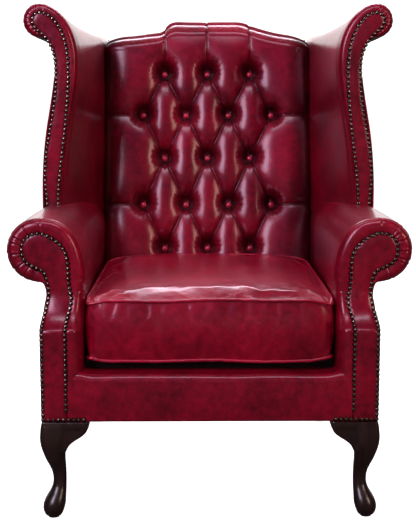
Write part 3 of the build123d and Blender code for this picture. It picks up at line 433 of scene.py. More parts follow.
def border_section():
    """Side view of the border, round from its foot over the roll to the deck."""
    turn_z = border_top - border_roll
    places = []
    for angle in np.radians(np.linspace(-90, 0, 7)):
        places.append((front_y + 5 - 5 * math.cos(angle), leg_height + 5 + 5 * math.sin(angle)))
    for z in np.linspace(leg_height + 8, turn_z, 24):
        places.append((front_y - 1.6 * math.sin(math.pi * (z - leg_height) / (turn_z - leg_height)), z))
    for angle in np.radians(np.linspace(2, 90, 16)):
        places.append((front_y + border_roll * (1 - math.cos(angle)), turn_z + border_roll * math.sin(angle)))
    for y in np.linspace(front_y + border_roll + 4, front_y + border_depth, 16):
        share = (y - front_y - border_roll) / (border_depth - border_roll)
        places.append((y, border_top + 2.0 * math.sin(math.pi * share) - 3.0 * share ** 2))
    under = [(border_depth, rail_top + 4), (14, rail_top + 2), (12.5, rail_top + 1), (12.5, leg_height)]
    return np.array(places + [(front_y + back, z) for back, z in under])


section_y, section_z = border_section().T
spread = np.linspace(-1, 1, 170)
border_x = border_half * (0.25 * np.sin(spread * math.pi / 2) + 0.75 * spread)
net = np.stack(np.broadcast_arrays(border_x[:, None], section_y, section_z), axis=-1)
soft = (section_y < front_y + border_depth - 8) & (section_z > leg_height + 6)
out = np.abs(border_x)
corner = step_between(out, 236, 276) * (1 - 0.5 * step_between(out, 280, border_half))
net[:, :, 2] += 5.5 * corner[:, None] * step_between(section_z, 270, 300) * soft
net[:, :, 1] += 0.7 * ripple(net, 120, 3) * soft * (section_y < front_y + 12)
net[:, :, 2] += 0.9 * ripple(net, 130, 4) * soft * (section_z > 290)
make_piece(
    "front_border_leather", net.reshape(-1, 3), tube_faces(*net.shape[:2]), 0.58, oxblood, "chair",
    ["front_border"],
)

# Seat deck
# The lined deck that the loose cushion rests on: dark cotton over padding, sewn down at its edges
# and tacked over the springs to the rails. The cotton is painted near-black to stand for the shade
# in the gap under the cushion.
# Painted shade: the deck cloth is near-black so that the gap under the cushion reads as shade.
deck_cloth_dark_as_shade = cloth_material("deck_cloth_dark_as_shade", (0.003, 0.001, 0.001), (0.014, 0.003, 0.004), 300, 0.9, 0.04)
deck_count = 60
deck_roll, deck_sag = 12, 7


def grid_rim(rows, columns):
    """The net's outermost places in order round it."""
    rim = list(range(columns)) + [row * columns + columns - 1 for row in range(1, rows)]
    rim += [(rows - 1) * columns + column for column in range(columns - 2, -1, -1)]
    return rim + [row * columns for row in range(rows - 2, 0, -1)]


deck_low, deck_high = [np.array(corner) * 1000 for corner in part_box("seat_platform")]
deck_x = np.linspace(deck_low[0] + 0.5, deck_high[0] - 0.5, deck_count)
deck_y = np.linspace(deck_low[1] + 0.3, deck_high[1] - 0.5, deck_count)
grid_x, grid_y = np.meshgrid(deck_x, deck_y, indexing="ij")
edge = np.minimum.reduce([
    grid_x - deck_low[0], deck_high[0] - grid_x, grid_y - deck_low[1], deck_high[1] - grid_y,
])
fall = deck_sag * (1 - np.sqrt(np.clip(1 - (1 - np.clip(edge / deck_roll, 0, 1)) ** 2, 0, 1)))
top = np.stack([grid_x, grid_y, deck_high[2] - 0.4 - fall], axis=-1)
under = np.stack([grid_x, grid_y, np.full_like(grid_x, deck_low[2] + 0.2)], axis=-1)
count = deck_count ** 2
faces = grid_faces(deck_count, deck_count)
faces += [tuple(reversed([corner + count for corner in face])) for face in faces]
rim = grid_rim(deck_count, deck_count)
faces += [(near, far, far + count, near + count) for near, far in zip(rim, rim[1:] + rim[:1])]
places = np.concatenate([top.reshape(-1, 3), under.reshape(-1, 3)])
make_piece("seat_deck", places, faces, 0.35, deck_cloth_dark_as_shade, "chair", ["seat_platform"])

# Arms
# Foam and leather over the arm frame. The leather wraps the scroll and is gathered by hand round
# its front edge, under the studded facing.
rake = math.radians(10.7)
kink_height, seat_reach = 344.0, 549.0
back_foam, clearance, webbing_thickness, post_depth = 90, 0.3, 1.5, 43
post_rear_w = -(back_foam + clearance + webbing_thickness) - post_depth
body_half, ledge_height = 347.5, 401.0
cutback, cutback_height = 45.0, 83.0
scroll_y = front_y + cutback
arm_radius, arm_radius_rear = 66.5, 26.0
arm_top, arm_top_rear = 624.0, 602.0
arm_center = np.array([350.5, arm_top - arm_radius])
arm_center_rear = np.array([342.0, arm_top_rear - arm_radius_rear])
arm_inner, arm_low_inner = 256.0, 260.0
belly_height, neck_x, neck_drop = 491.0, 337.5, 20.5
arm_rear_y = 444.0
inset_depth, inset_edge = 4.2, 4
arm_panel_top, arm_panel_front = 493, -333
scroll_place, inside_place = 76, 230
both_sides = ((1, "right"), (-1, "left"))


def back_depth(z, w):
    """Depth of the plane that lies w in front of the inside back: upright below, raked above."""
    return front_y + seat_reach + np.maximum(z - kink_height, 0) * math.tan(rake) - w / math.cos(rake)


def lengths_along(line):
    """How far along a line each of its places lies."""
    return np.concatenate(([0], np.cumsum(np.linalg.norm(np.diff(line, axis=0), axis=1))))


def respaced(line, count):
    """The same line with evenly spaced places."""
    along = lengths_along(line)
    wanted = np.linspace(0, along[-1], count)
    return np.stack([np.interp(wanted, along, column) for column in line.T], axis=1)


def smooth_line(points, count, first=None, last=None):
    """A smooth line through listed points, given again as evenly spaced places."""
    p = np.array(points, float)
    gaps = np.linalg.norm(np.diff(p, axis=0), axis=1)
    size = len(p)
    system, right = np.zeros((size, size)), np.zeros_like(p)
    for index in range(1, size - 1):
        near, far = gaps[index - 1], gaps[index]
        system[index, index - 1:index + 2] = (1 / near, 2 / near + 2 / far, 1 / far)
        right[index] = 3 * (p[index] - p[index - 1]) / near ** 2 + 3 * (p[index + 1] - p[index]) / far ** 2
    for end, low, heading in ((0, 0, first), (size - 1, size - 2, last)):
        system[end, end] = 1
        if heading is None:
            system[end, low:low + 2] += 1
            right[end] = 3 * (p[low + 1] - p[low]) / gaps[low]
        else:
            right[end] = np.array(heading) / np.linalg.norm(heading)
    slopes = np.linalg.solve(system, right)
    fine = []
    for index, gap in enumerate(gaps):
        share = np.linspace(0, 1, 41)[min(index, 1):, None]
        mix = 3 * share ** 2 - 2 * share ** 3
        enter, leave = share ** 3 - 2 * share ** 2 + share, share ** 3 - share ** 2
        bend = gap * (enter * slopes[index] + leave * slopes[index + 1])
        fine.append((1 - mix) * p[index] + mix * p[index + 1] + bend)
    return respaced(np.concatenate(fine), count)


def half_round(center, radius, count):
    """Half a circle from its foot over its outer side to its top."""
    angles = np.linspace(-math.pi / 2, math.pi / 2, count)
    return center + radius * np.stack([np.cos(angles), np.sin(angles)], axis=1)


def arm_loop(share):
    """Front view of an arm's right-hand section, from its outer foot over the scroll to its inner
    foot and back along the bottom."""
    near, far = np.array([(0.55, 0.895), (0.843, 0.624)]), np.array([(0.70, 0.95), (0.944, 0.737)])
    center = arm_center + (arm_center_rear - arm_center) * share
    radius = arm_radius + (arm_radius_rear - arm_radius) * share
    rise = center[1] + radius - belly_height
    shoulders = [
        (center[0] - across * (center[0] - arm_inner), belly_height + up * rise)
        for across, up in near + (far - near) * share
    ]
    drop = belly_height - ledge_height
    flares = [
        (arm_inner + across * (arm_low_inner - arm_inner), belly_height - down * drop)
        for across, down in ((0.29, 0.42), (1, 1))
    ]
    scroll = half_round(center, radius, 111)
    neck = (neck_x, center[1] - radius - neck_drop)
    inside = [scroll[-1], *shoulders, (arm_inner, belly_height), *flares]
    return np.concatenate([
        np.linspace((body_half, leg_height), (body_half, ledge_height), 37)[:-1],
        smooth_line([(body_half, ledge_height), neck, scroll[0]], 40, (0, 1), (1, 0))[:-1],
        scroll[:-1],
        smooth_line(inside, 120, (-1, 0), (0, -1))[:-1],
        np.linspace((arm_low_inner, ledge_height), (arm_low_inner, leg_height), 37)[:-1],
        np.linspace((arm_low_inner, leg_height), (body_half, leg_height), 14)[:-1],
    ])


def outer_side(along):
    """Unit directions square to a line's directions, on its outer side."""
    along = along / np.linalg.norm(along, axis=1)[:, None]
    return np.stack([along[:, 1], -along[:, 0]], axis=1)


def moved_out(line, amount):
    """An open line moved to its outer side."""
    return line + amount * outer_side(np.gradient(line, axis=0))


def standing(line, foot, count):
    """A front-view line with a straight leg down to a foot at each end."""
    first, last = [np.linspace((end[0], foot), end, count) for end in (line[0], line[-1])]
    return np.concatenate([first[:-1], line, last[-2::-1]])


nail_outer_x, nail_low_z = body_half - 5.5, leg_height + 5.5
facing_inner_x = 295.0
arm_nail_shares = np.array([
    (-0.285, -1.54), (-0.245, -0.877), (-0.14, -0.645), (0.165, -0.49), (0.42, -0.292), (0.51, 0.015),
    (0.369, 0.4), (0.025, 0.538), (-0.415, 0.392), (-0.79, 0.015), (-0.9, -0.538), (-0.93, -1.15),
    (-0.985, -1.43),
])
arm_nail_ends = [(nail_outer_x, ledge_height), (facing_inner_x, ledge_height)]
arm_nail_points = [arm_nail_ends[0], *(arm_center + arm_nail_shares * arm_radius), arm_nail_ends[1]]
arm_scroll_nails = smooth_line(arm_nail_points, 260, (0, 1), (0, -1))


def arm_front(z):
    """Depth of the arm's front at a height: upright, cut back in a hollow, upright again."""
    radius = (cutback ** 2 + cutback_height ** 2) / (2 * cutback)
    rise = np.clip(ledge_height + cutback_height - z, 0, cutback_height)
    return np.where(z <= ledge_height, front_y, scroll_y - radius + np.sqrt(radius ** 2 - rise ** 2))


def front_ring(loop, outline, bottom, depth, across, deep, sink):
    """Rows of a leather edge that turns over the front in a full roll and runs in under the
    facing. Across and deep give the roll's size at each place of the loop."""
    along, goal = lengths_along(outline), loop.copy()
    away = np.linalg.norm(loop[:-bottom, None, :] - outline[None, :, :], axis=2)
    ordered = np.maximum.accumulate(along[np.argmin(away, axis=1)])
    ordered = np.convolve(np.pad(ordered, 4, mode="edge"), np.ones(9) / 9, mode="valid")
    goal[:-bottom] = np.stack([np.interp(ordered, along, column) for column in outline.T], axis=1)
    width = np.linalg.norm(goal - loop, axis=1)
    unit = (goal - loop) / np.maximum(width, 1e-6)[:, None]
    turn = np.minimum(across, width * 0.62)
    back = np.minimum(deep, turn * 2)
    quarter = np.radians(np.linspace(0, 90, 13))
    steps = [(turn * (1 - math.cos(angle)), back * (1 - math.sin(angle))) for angle in quarter]
    steps += [(turn + (width - turn) * share, sink * share ** 2.2) for share in np.linspace(0.1, 1, 10)]
    rows = []
    for run, behind in steps:
        spot = loop + unit * run[:, None]
        rows.append(np.stack([spot[:, 0], depth(spot[:, 1]) + behind, spot[:, 1]], axis=1))
    return rows + [rows[-1] + (0, 16, 0)]


def wrapped_net(near, ring, count, ease, section):
    """Rows of a leather from its rear end to the ring, with the outward direction everywhere."""
    start, rear = ring[0][:, 1], back_depth(near[:, 1], post_rear_w)
    rows = []
    for share in 1 - np.linspace(0, 1, count)[:-1] ** ease:
        y = start + (rear - start) * share
        spot = section(y)
        rows.append(np.stack([spot[:, 0], y, spot[:, 1]], axis=1))
    net = np.array(rows + ring)
    normal = np.cross(np.roll(net, -1, axis=1) - np.roll(net, 1, axis=1), np.gradient(net, axis=0))
    normal /= np.maximum(np.linalg.norm(normal, axis=2), 1e-9)[:, :, None]
    return net, normal * np.sign(np.mean(normal[10, 80:150, 0]))


def gather_fade(net, ring_rows, column, reach):
    """How much of a gather shows in each row: all at the facing, none well behind the roll."""
    behind = np.linalg.norm(net[:-ring_rows, column] - net[-ring_rows, column], axis=1)
    return np.concatenate([np.clip(1 - behind / reach, 0, 1) * 0.6, np.linspace(0.6, 1, ring_rows)])


def gather_height(along, spots, fade, depth, seed):
    """Hand-made gathers: narrow folds across a rolled edge that fade away from the facing."""
    draw = np.random.default_rng(seed)
    total = np.zeros((len(fade), len(along)))
    for spot in spots:
        width = draw.uniform(1.5, 2.6)
        strength = depth * draw.uniform(0.6, 1.15)
        lean = draw.uniform(-0.35, 0.35)
        reach = draw.uniform(0.6, 1.0)
        shifted = along[None, :] - spot - lean * 12 * (1 - fade[:, None])
        ridge = 0.45 * np.exp(-((shifted - 2.2 * width) / (1.6 * width)) ** 2)
        groove = ridge - np.exp(-(shifted / width) ** 2)
        total += strength * groove * np.clip((fade[:, None] - (1 - reach)) / reach, 0, 1)
    return total


def wrapped_piece(name, net, normal, height, shade, side, replaced):
    """Raises a wrapped net by its gathers and makes the right or left piece of it, with painted shade in its
    folds and where it runs in under the facing.
    """
    net = net + normal * height[:, :, None]
    base, more, low, high = shade
    # Painted shade: darker in the gathers' grooves and lighter on their ridges, and dark on the two last
    # rows, which run in under the facing. The hide also gets lighter towards the top.
    worn = base + 0.10 * height + more * step_between(net[:, :, 2], low, high)
    worn[-1] = 0.1
    worn[-2] = 0.25
    make_piece(
        name, (net * (side, 1, 1)).reshape(-1, 3), tube_faces(*net.shape[:2]),
        np.clip(worn, 0.05, 1).reshape(-1), oxblood, "chair", [replaced],
    )


near, far = arm_loop(0), arm_loop(1)
bottom_places = 13
place = np.arange(len(near))
on_inside = (place > inside_place) & (place < len(near) - bottom_places)
low = on_inside * (1 - step_between(near[:, 1], 430, 520))
outline = standing(moved_out(arm_scroll_nails, -2.5), leg_height, 60)
ring = front_ring(near, outline, bottom_places, arm_front, 17 + 9 * low, 18 + 22 * low, 3.4)


def arm_section(y):
    """The arm's section places at their depths: it tapers to the rear."""
    share = np.clip((y - scroll_y) / (arm_rear_y - scroll_y), 0, 1) ** 1.2
    return near + (far - near) * share[:, None]


arm_net, normal = wrapped_net(near, ring, 70, 1.5, arm_section)
panel = (arm_net[:, :, 2] < arm_panel_top) & (place < scroll_place)
inset_end = arm_panel_front + inset_edge
inset = inset_depth * step_between(arm_net[:, :, 1], arm_panel_front, inset_end) * panel
arm_net[:, :, 0] -= inset
along = lengths_along(near)
behind = np.abs(arm_net[:, :, 1] - arm_front(arm_net[:, :, 2]))
crest_place, fade_reach = 130, 26
fade = gather_fade(arm_net, len(ring), crest_place, fade_reach)
ring_place = np.arange(len(arm_net)) - (len(arm_net) - len(ring))
rolled = np.exp(-((ring_place - 7) / 5.0) ** 2)
belly = float(np.interp(-belly_height, -near[240:, 1], along[240:]))
seam = 0.9 * (ring_place == 4)[:, None] * step_between(near[:, 1], ledge_height + 60, ledge_height + 90)
for side, word in both_sides:
    folds = (26, 68, 79, 101, 131, 152, 166, 204) if side > 0 else (18, 34, 58, 93, 122, 137, 170, 212)
    height = gather_height(along, along[scroll_place] + np.array(folds), fade, 2.1, 11 + side)
    height += gather_height(along, belly + np.array([-9, 14]), rolled, 1.0, 15 + side) - seam
    height += 0.9 * ripple(arm_net * np.array([1, 0.45, 1]), 90, 21 + side) * step_between(behind, 5, 60)
    height *= (inset <= 0.5) * step_between(arm_net[:, :, 2], leg_height - 1, leg_height + 30)
    shade = (0.56, 0.08, 500, 620)
    wrapped_piece(f"arm_leather_{word}", arm_net, normal, height, shade, side, f"arm_pad_{word}")


# Arm facings
# A lightly padded leather panel on the front of each arm, cut to the scroll's shape and nailed
# round its edge.
def panel_outline(line, count, foot, leg_count, foot_count):
    """The closed outline of a panel: a line with legs to a foot, and the foot."""
    sides = standing(respaced(line, count), foot, leg_count)
    return np.concatenate([sides, np.linspace(sides[-1], sides[0], foot_count)[1:-1]])


def padded_panels(kind, ring, depth, puff, swell, pitch):
    """The gently domed leather panels inside an outline in the front view, right and left."""
    low, high = np.min(ring, axis=0), np.max(ring, axis=0)
    following = np.roll(ring, -1, axis=0)
    reach = following - ring
    rise = np.where(reach[:, 1] == 0, 1, reach[:, 1])
    inner = []
    for index, z in enumerate(np.arange(low[1] + pitch / 2, high[1], pitch * 0.87)):
        between = (ring[:, 1] > z) != (following[:, 1] > z)
        crossing = reach[:, 0] * (z - ring[:, 1]) / rise + ring[:, 0]
        for x in np.arange(low[0] + pitch / 2, high[0], pitch) + (pitch / 2 if index % 2 else 0):
            is_inside = np.sum(between & (x < crossing)) % 2
            if is_inside and np.min(np.linalg.norm(ring - (x, z), axis=1)) > pitch * 0.6:
                inner.append(Vector((x, z)))
    count = len(ring)
    edges = [(index, (index + 1) % count) for index in range(count)]
    points = [Vector(spot) for spot in ring] + inner
    verts, _, faces, *_ = geometry.delaunay_2d_cdt(points, edges, [], 1, 1e-4)
    flat = np.array([tuple(v) for v in verts])
    distance = np.min(np.linalg.norm(flat[:, None, :] - ring[None, :, :], axis=2), axis=1)
    distance[:count] = 0
    rounded = np.clip(distance / 10, 0, 1)
    dome = puff * np.sqrt(np.clip(1 - (1 - np.clip(distance / swell, 0, 1)) ** 2, 0, 1))
    size = len(flat)
    solid = [tuple(face) for face in faces]
    solid += [tuple(corner + size for corner in reversed(face)) for face in faces]
    solid += [(far, near, near + size, far + size) for near, far in edges]
    # Painted shade: the front is darker within 10 mm of the outline, where the panel dips to the nails, and
    # the hidden back is dark.
    worn = np.concatenate([0.4 + 0.14 * rounded, np.full(size, 0.2)])
    for side, word in both_sides:
        front = np.stack([flat[:, 0], depth(flat[:, 1]) - dome + 0.8, flat[:, 1]], axis=1)
        front[:, 1] += 0.35 * ripple(front, 45, 31 + side) * rounded
        back = np.stack([flat[:, 0], depth(flat[:, 1]) + 4.6, flat[:, 1]], axis=1)
        make_piece(
            f"{kind}_facing_leather_{word}", np.concatenate([front, back]) * (side, 1, 1), solid, worn,
            oxblood, "chair", [f"{kind}_facing_{word}"],
        )


arm_facing = panel_outline(moved_out(arm_scroll_nails, 2.0), 130, leg_height + 0.2, 40, 12)
padded_panels("arm", arm_facing, arm_front, 4.4, 21, 5.0)

# Wings
# Foam and leather over each wing's board and top rail, rolled outward at the front and gathered
# round the scroll under its facing.
wing_nail_shares = (
    (0.893, 0.079), (0.886, 0.237), (0.84, 0.476), (0.823, 0.632), (0.838, 0.767), (0.889, 0.842),
    (0.935, 0.883), (0.947, 0.912), (0.927, 0.946), (0.891, 0.951), (0.835, 0.919), (0.785, 0.842),
    (0.76, 0.711), (0.762, 0.576), (0.783, 0.37), (0.809, 0.181),
)
wing_base, wing_top, wing_half, wing_foot_z = 564.0, 1067.0, 413.0, 620.1
wing_front_y, wing_length = -61.0, 305
wing_panel_top, scroll_place = 903, 79
wing_drop = smooth_line([(0, 0), (0.33, 0.43), (0.66, 0.76), (1, 1)], 60)


def flat_wing_front(z):
    """Depth of the wing's front, upright at every height."""
    return np.full_like(np.asarray(z, float), wing_front_y)


def wing_nail_line(count):
    """The line of nails up one side of a wing's facing, round its scroll and down the other."""
    shares = [(across * wing_half, arm_top + up * (wing_top - arm_top)) for across, up in wing_nail_shares]
    ends = [(across * wing_half, wing_foot_z) for across in (0.886, 0.826)]
    return smooth_line([ends[0], *shares, ends[1]], count, (0, 1), (0, -1))


def wing_loop(share):
    """Front view of a wing's right-hand section, from its outer foot over the scroll to its inner
    foot and back along the bottom."""
    pairs = ((38, 19), (375, 300), (345, 296), (376, 316), (291, 256), (944, 982), (331, 256))
    sizes = [start + (end - start) * share for start, end in pairs]
    radius, roll_x, neck, foot, inner_x, inner_z, inner_foot = sizes
    top_z = wing_top - 63 * float(np.interp(share, wing_drop[:, 0], wing_drop[:, 1]))
    neck_z = 904
    hips = [
        (foot + (neck - foot) * across, wing_base + (neck_z - wing_base) * up)
        for across, up in ((0, 0.28), (0.32, 0.63))
    ]
    outside = [(foot, wing_base), *hips, (neck, neck_z), (roll_x, top_z - 2 * radius)]
    shoulder = (roll_x + (inner_x - roll_x) * 0.63, top_z + (inner_z - top_z) * 0.25)
    belly = (inner_x + (inner_foot - inner_x) * 0.525, inner_z + (wing_base - inner_z) * 0.395)
    return np.concatenate([
        smooth_line(outside, 80, (0, 1), (1, 0))[:-1],
        half_round(np.array([roll_x, top_z - radius]), radius, 91)[:-1],
        smooth_line([(roll_x, top_z), shoulder, (inner_x, inner_z)], 50, (-1, 0), (0, -1))[:-1],
        smooth_line([(inner_x, inner_z), belly, (inner_foot, wing_base)], 70, (0, -1), (0, -1))[:-1],
        np.linspace((inner_foot, wing_base), (foot, wing_base), 10)[:-1],
    ])


wing_nails = wing_nail_line(320)
stations = 20
loops = np.array([wing_loop(share) for share in np.linspace(0, 1, stations + 1)])
near = loops[0]
place = np.arange(len(near))
outline = standing(moved_out(wing_nails, -2.5), wing_base, 40)
bottom_places = 9
roll = np.full(len(near), 14.0)
ring = front_ring(near, outline, bottom_places, flat_wing_front, roll, roll * 1.15, 3.0)


def wing_section(y):
    """The wing's section places at their depths, between the sections on either side."""
    station = np.clip((y - wing_front_y) / wing_length, 0, 1) * stations
    low = np.minimum(station.astype(int), stations - 1)
    part = (station - low)[:, None]
    return loops[low, place] * (1 - part) + loops[low + 1, place] * part


wing_net, normal = wrapped_net(near, ring, 64, 1.3, wing_section)
behind = wing_net[:, :, 1] - wing_front_y
panel = (near[:, 1] < wing_panel_top) & (place < scroll_place)
inset = inset_depth * step_between(behind, 0, inset_edge) * panel
wing_net[:, :, 0] -= inset
along = lengths_along(near)
crest_place, fade_reach = 120, 20
fade = gather_fade(wing_net, len(ring), crest_place, fade_reach)
spots = along[scroll_place] + np.array([4, 16, 27, 41, 52, 66, 79, 92, 108, 127])
for side, word in both_sides:
    height = gather_height(along, spots, fade, 1.3, 41 + side)
    height += 1.1 * ripple(wing_net * np.array([1, 0.6, 0.8]), 110, 51 + side) * step_between(behind, 5, 60)
    height *= inset <= 0.5
    shade = (0.54, 0.1, 960, 1040)
    wrapped_piece(f"wing_leather_{word}", wing_net, normal, height, shade, side, f"wing_pad_{word}")

# Wing facings
# Narrow padded leather panels on the front of the wings, nailed round their edges. Their feet are
# tucked in below the last nails.
tuck = 24
wing_facing = panel_outline(moved_out(wing_nails, 2.0), 220, wing_foot_z - tuck, 6, 8)
padded_panels("wing", wing_facing, flat_wing_front, 3.4, 14, 4.0)

# Deep-buttoned back
# One hide over deep foam, pulled into the frame at seventeen buttons. The spare leather between
# them is folded into pleats that make the diamonds, and the top rolls over the crest.
button_gap = 106.0
button_rows = (909.0, 808.0, 703.0, 589.0, 482.0)
back_half, back_low = 255.4, 330.0
crest_roll, rear_roll = 34.0, 26
side_roll, side_fall = 62, 27
diamond_depth, pleat_depth, pleat_lip, button_well = 16, 3.2, 1.5, 27.0
back_columns, face_rows = 291, 350


def up_back(z):
    """Distance up the raked face from the kink to a height."""
    return (z - kink_height) / math.cos(rake)


buttons = []
for row, height in enumerate(button_rows):
    number = 3 + row % 2
    for index in range(number):
        buttons.append((row, (index - (number - 1) / 2) * button_gap, up_back(height)))
pleats = []
for row, x, v in buttons:
    for next_row, next_x, next_v in buttons:
        if next_row == row + 1 and abs(next_x - x) < button_gap:
            pleats.append(((x, v), (next_x, next_v), 1.0))
    if row == 0:
        pleats.append(((x, v), (x * 0.99, up_back(1200)), 0.55))
    if row == len(button_rows) - 1:
        pleats.append(((x, v), (x, up_back(260)), 0.7))
    if row % 2 == 1 and abs(x) > button_gap:
        pleats.append(((x, v), (math.copysign(back_half + 20, x), v + 2), 0.6))

crest_points = [
    (-256, 999), (-173, 1001), (-135, 1006), (-109, 1014), (-101, 1024), (-90, 1032), (-58, 1034.5),
    (0, 1035), (60, 1034.5), (88, 1033), (113, 1024.5), (160, 1010), (208, 1002), (256, 999),
]
crest_line = smooth_line(crest_points, 400)
spread = np.linspace(-1, 1, back_columns)
side_x = back_half * (0.12 * np.sin(spread * math.pi / 2) + 0.88 * spread)


def back_profile(crest):
    """Side view of the back at one crest height: places and outward normals from the seat up the
    face, over the crest and down behind, and how far along the hide they lie."""
    turn = crest - crest_roll
    places, normals, along = [], [], []

    def step(place, normal, further):
        places.append(place)
        normals.append(normal)
        along.append(along[-1] + further)

    for z in np.linspace(back_low, turn, face_rows):
        places.append((float(back_depth(z, 0)), z))
        normals.append((-math.cos(rake), math.sin(rake)) if z > kink_height + 6 else (-1, 0))
        along.append(up_back(z))
    middle = np.array([places[-1][0] + crest_roll / math.cos(rake), turn])
    rear_x = float(back_depth(turn, post_rear_w - 4.3)) - rear_roll
    for angle in np.linspace(180, 90, 22)[1:]:
        direction = np.array([math.cos(math.radians(angle)), math.sin(math.radians(angle))])
        stretch = 1 / math.cos(rake) if angle > 150 else 1
        step(tuple(middle + crest_roll * direction * stretch), direction, 2.4)
    for share in np.linspace(0, 1, 18)[1:]:
        over_x = middle[0] + (rear_x - middle[0]) * share
        step((over_x, crest + 2.0 * math.sin(math.pi * share)), (0, 1), 4)
    for angle in np.linspace(90, 0, 16)[1:]:
        direction = np.array([math.cos(math.radians(angle)), math.sin(math.radians(angle))])
        step((rear_x + rear_roll * direction[0], turn + crest_roll * direction[1]), direction, 3)
    for z in (turn - 6, 956.0):
        step((places[-1][0] - 1.5, z), (1, 0), 0)
    for z in (955.0, 800.0, 600.0, kink_height, back_low):
        step((float(back_depth(z, -back_foam)), z), (0, 0), 0)
    return np.array(places), np.array(normals, float), np.array(along)


profiles = [back_profile(float(np.interp(x, crest_line[:, 0], crest_line[:, 1]))) for x in side_x]
sides, ways, back_along = [np.array(parts) for parts in zip(*profiles)]
back_places = np.concatenate([np.broadcast_to(side_x[:, None, None], (*sides.shape[:2], 1)), sides], axis=2)
back_normals = np.concatenate([np.zeros((*sides.shape[:2], 1)), ways], axis=2)


def tuft_height(x, v):
    """How far the leather stands from the flat face: full diamonds, pleats and button wells."""
    nearest = np.full(x.shape, 1e9)
    signed, strength, hollow, swirl = np.zeros((4, *x.shape))
    dome = np.ones(x.shape)
    crest_fade = 1 - 0.8 * step_between(v, up_back(925), up_back(1000))
    for (x0, v0), (x1, v1), weight in pleats:
        dx, dv = x1 - x0, v1 - v0
        length = math.hypot(dx, dv)
        share = np.clip(((x - x0) * dx + (v - v0) * dv) / length ** 2, 0, 1)
        away = np.hypot(x - x0 - share * dx, v - v0 - share * dv)
        closer = away < nearest
        nearest = np.where(closer, away, nearest)
        side_of = ((x - x0) * dv - (v - v0) * dx) / length
        signed = np.where(closer, -side_of if dx < 0 else side_of, signed)
        strength = np.where(closer, weight, strength)
        dome *= 1 - weight * crest_fade * np.exp(-away / 17)
    draw = np.random.default_rng(7)
    for row, bx, bv in buttons:
        away = np.hypot(x - bx, (v - bv - 4) * np.where(v > bv + 4, 0.78, 1.0))
        phase = draw.uniform(0, 2 * math.pi)
        folds = int(draw.integers(13, 21))
        angle = np.arctan2(v - bv, x - bx)
        swirl += np.exp(-((away - 25) / 8) ** 2) * np.sin(folds * angle + phase + 0.05 * away)
        hollow = np.maximum(hollow, 1 / (1 + (away / 17.5) ** 4))
    crease = np.exp(-(nearest / 1.5) ** 2) * strength ** 0.5
    height = -diamond_depth * (1 - dome) - pleat_depth * crease
    height += pleat_lip * np.tanh(signed) * np.exp(-nearest / 7) * strength
    height -= (button_well + 0.4 * height) * hollow
    return height + 0.5 * swirl, crease, hollow


height, crease, hollow = tuft_height(back_places[:, :, 0], back_along)
index = np.arange(back_places.shape[1])
over = face_rows + 36
live = np.where(index < over, 1.0, np.clip(1 - (index - over) / 14, 0, 1))
edge = np.clip((np.abs(side_x) - (back_half - side_roll)) / side_roll, 0, 1)
edge_fall = -side_fall * (1 - np.sqrt(1 - edge ** 2 * 0.995))
crown = 1 - step_between(np.abs(back_along - up_back(1034)), 0, 70)
height = height * live + edge_fall[:, None] * (index < face_rows + 43)
height += 0.8 * ripple(back_places, 120, 61) * live
height -= 7 * (1 - step_between(back_along, -14, 60)) * (index < face_rows)
height -= 7 * crown * (index < face_rows + 20)
# Painted shade: the hide is darker down the pleats, in the button wells, where it lies lower and at the
# sides, where the back meets the wings.
worn = np.clip(0.6 + 0.008 * height - 0.42 * hollow - 0.45 * crease - 0.6 * edge[:, None], 0.03, 0.8)
make_piece(
    "back_leather", (back_places + back_normals * height[:, :, None]).reshape(-1, 3),
    tube_faces(*height.shape), worn.reshape(-1), oxblood, "chair", ["back_pad"],
)


# Buttons
# Small metal-backed buttons covered in the same hide, tied through the back at every well. Each
# faces out from the raked back and leans a little its own way.
def geometry_tree(name, inputs):
    """An empty geometry tree with named inputs, and what its input node gives out."""
    tree = bpy.data.node_groups.new(name, "GeometryNodeTree")
    for label, kind, value in [("Geometry", "Geometry", None), *inputs, ("Material", "Material", None)]:
        socket = tree.interface.new_socket(name=label, in_out="INPUT", socket_type=f"NodeSocket{kind}")
        if value is not None:
            socket.default_value = value
    tree.interface.new_socket(name="Geometry", in_out="OUTPUT", socket_type="NodeSocketGeometry")
    return tree, tree.nodes.new("NodeGroupInput").outputs


def hand_out(tree, shape, material):
    """Ends a geometry tree: real geometry with its material."""
    real = add_node(tree, "GeometryNodeRealizeInstances", {"Geometry": shape}).outputs["Geometry"]
    paint = add_node(tree, "GeometryNodeSetMaterial", {"Geometry": real, "Material": material})
    add_node(tree, "NodeGroupOutput", {"Geometry": paint.outputs["Geometry"]})


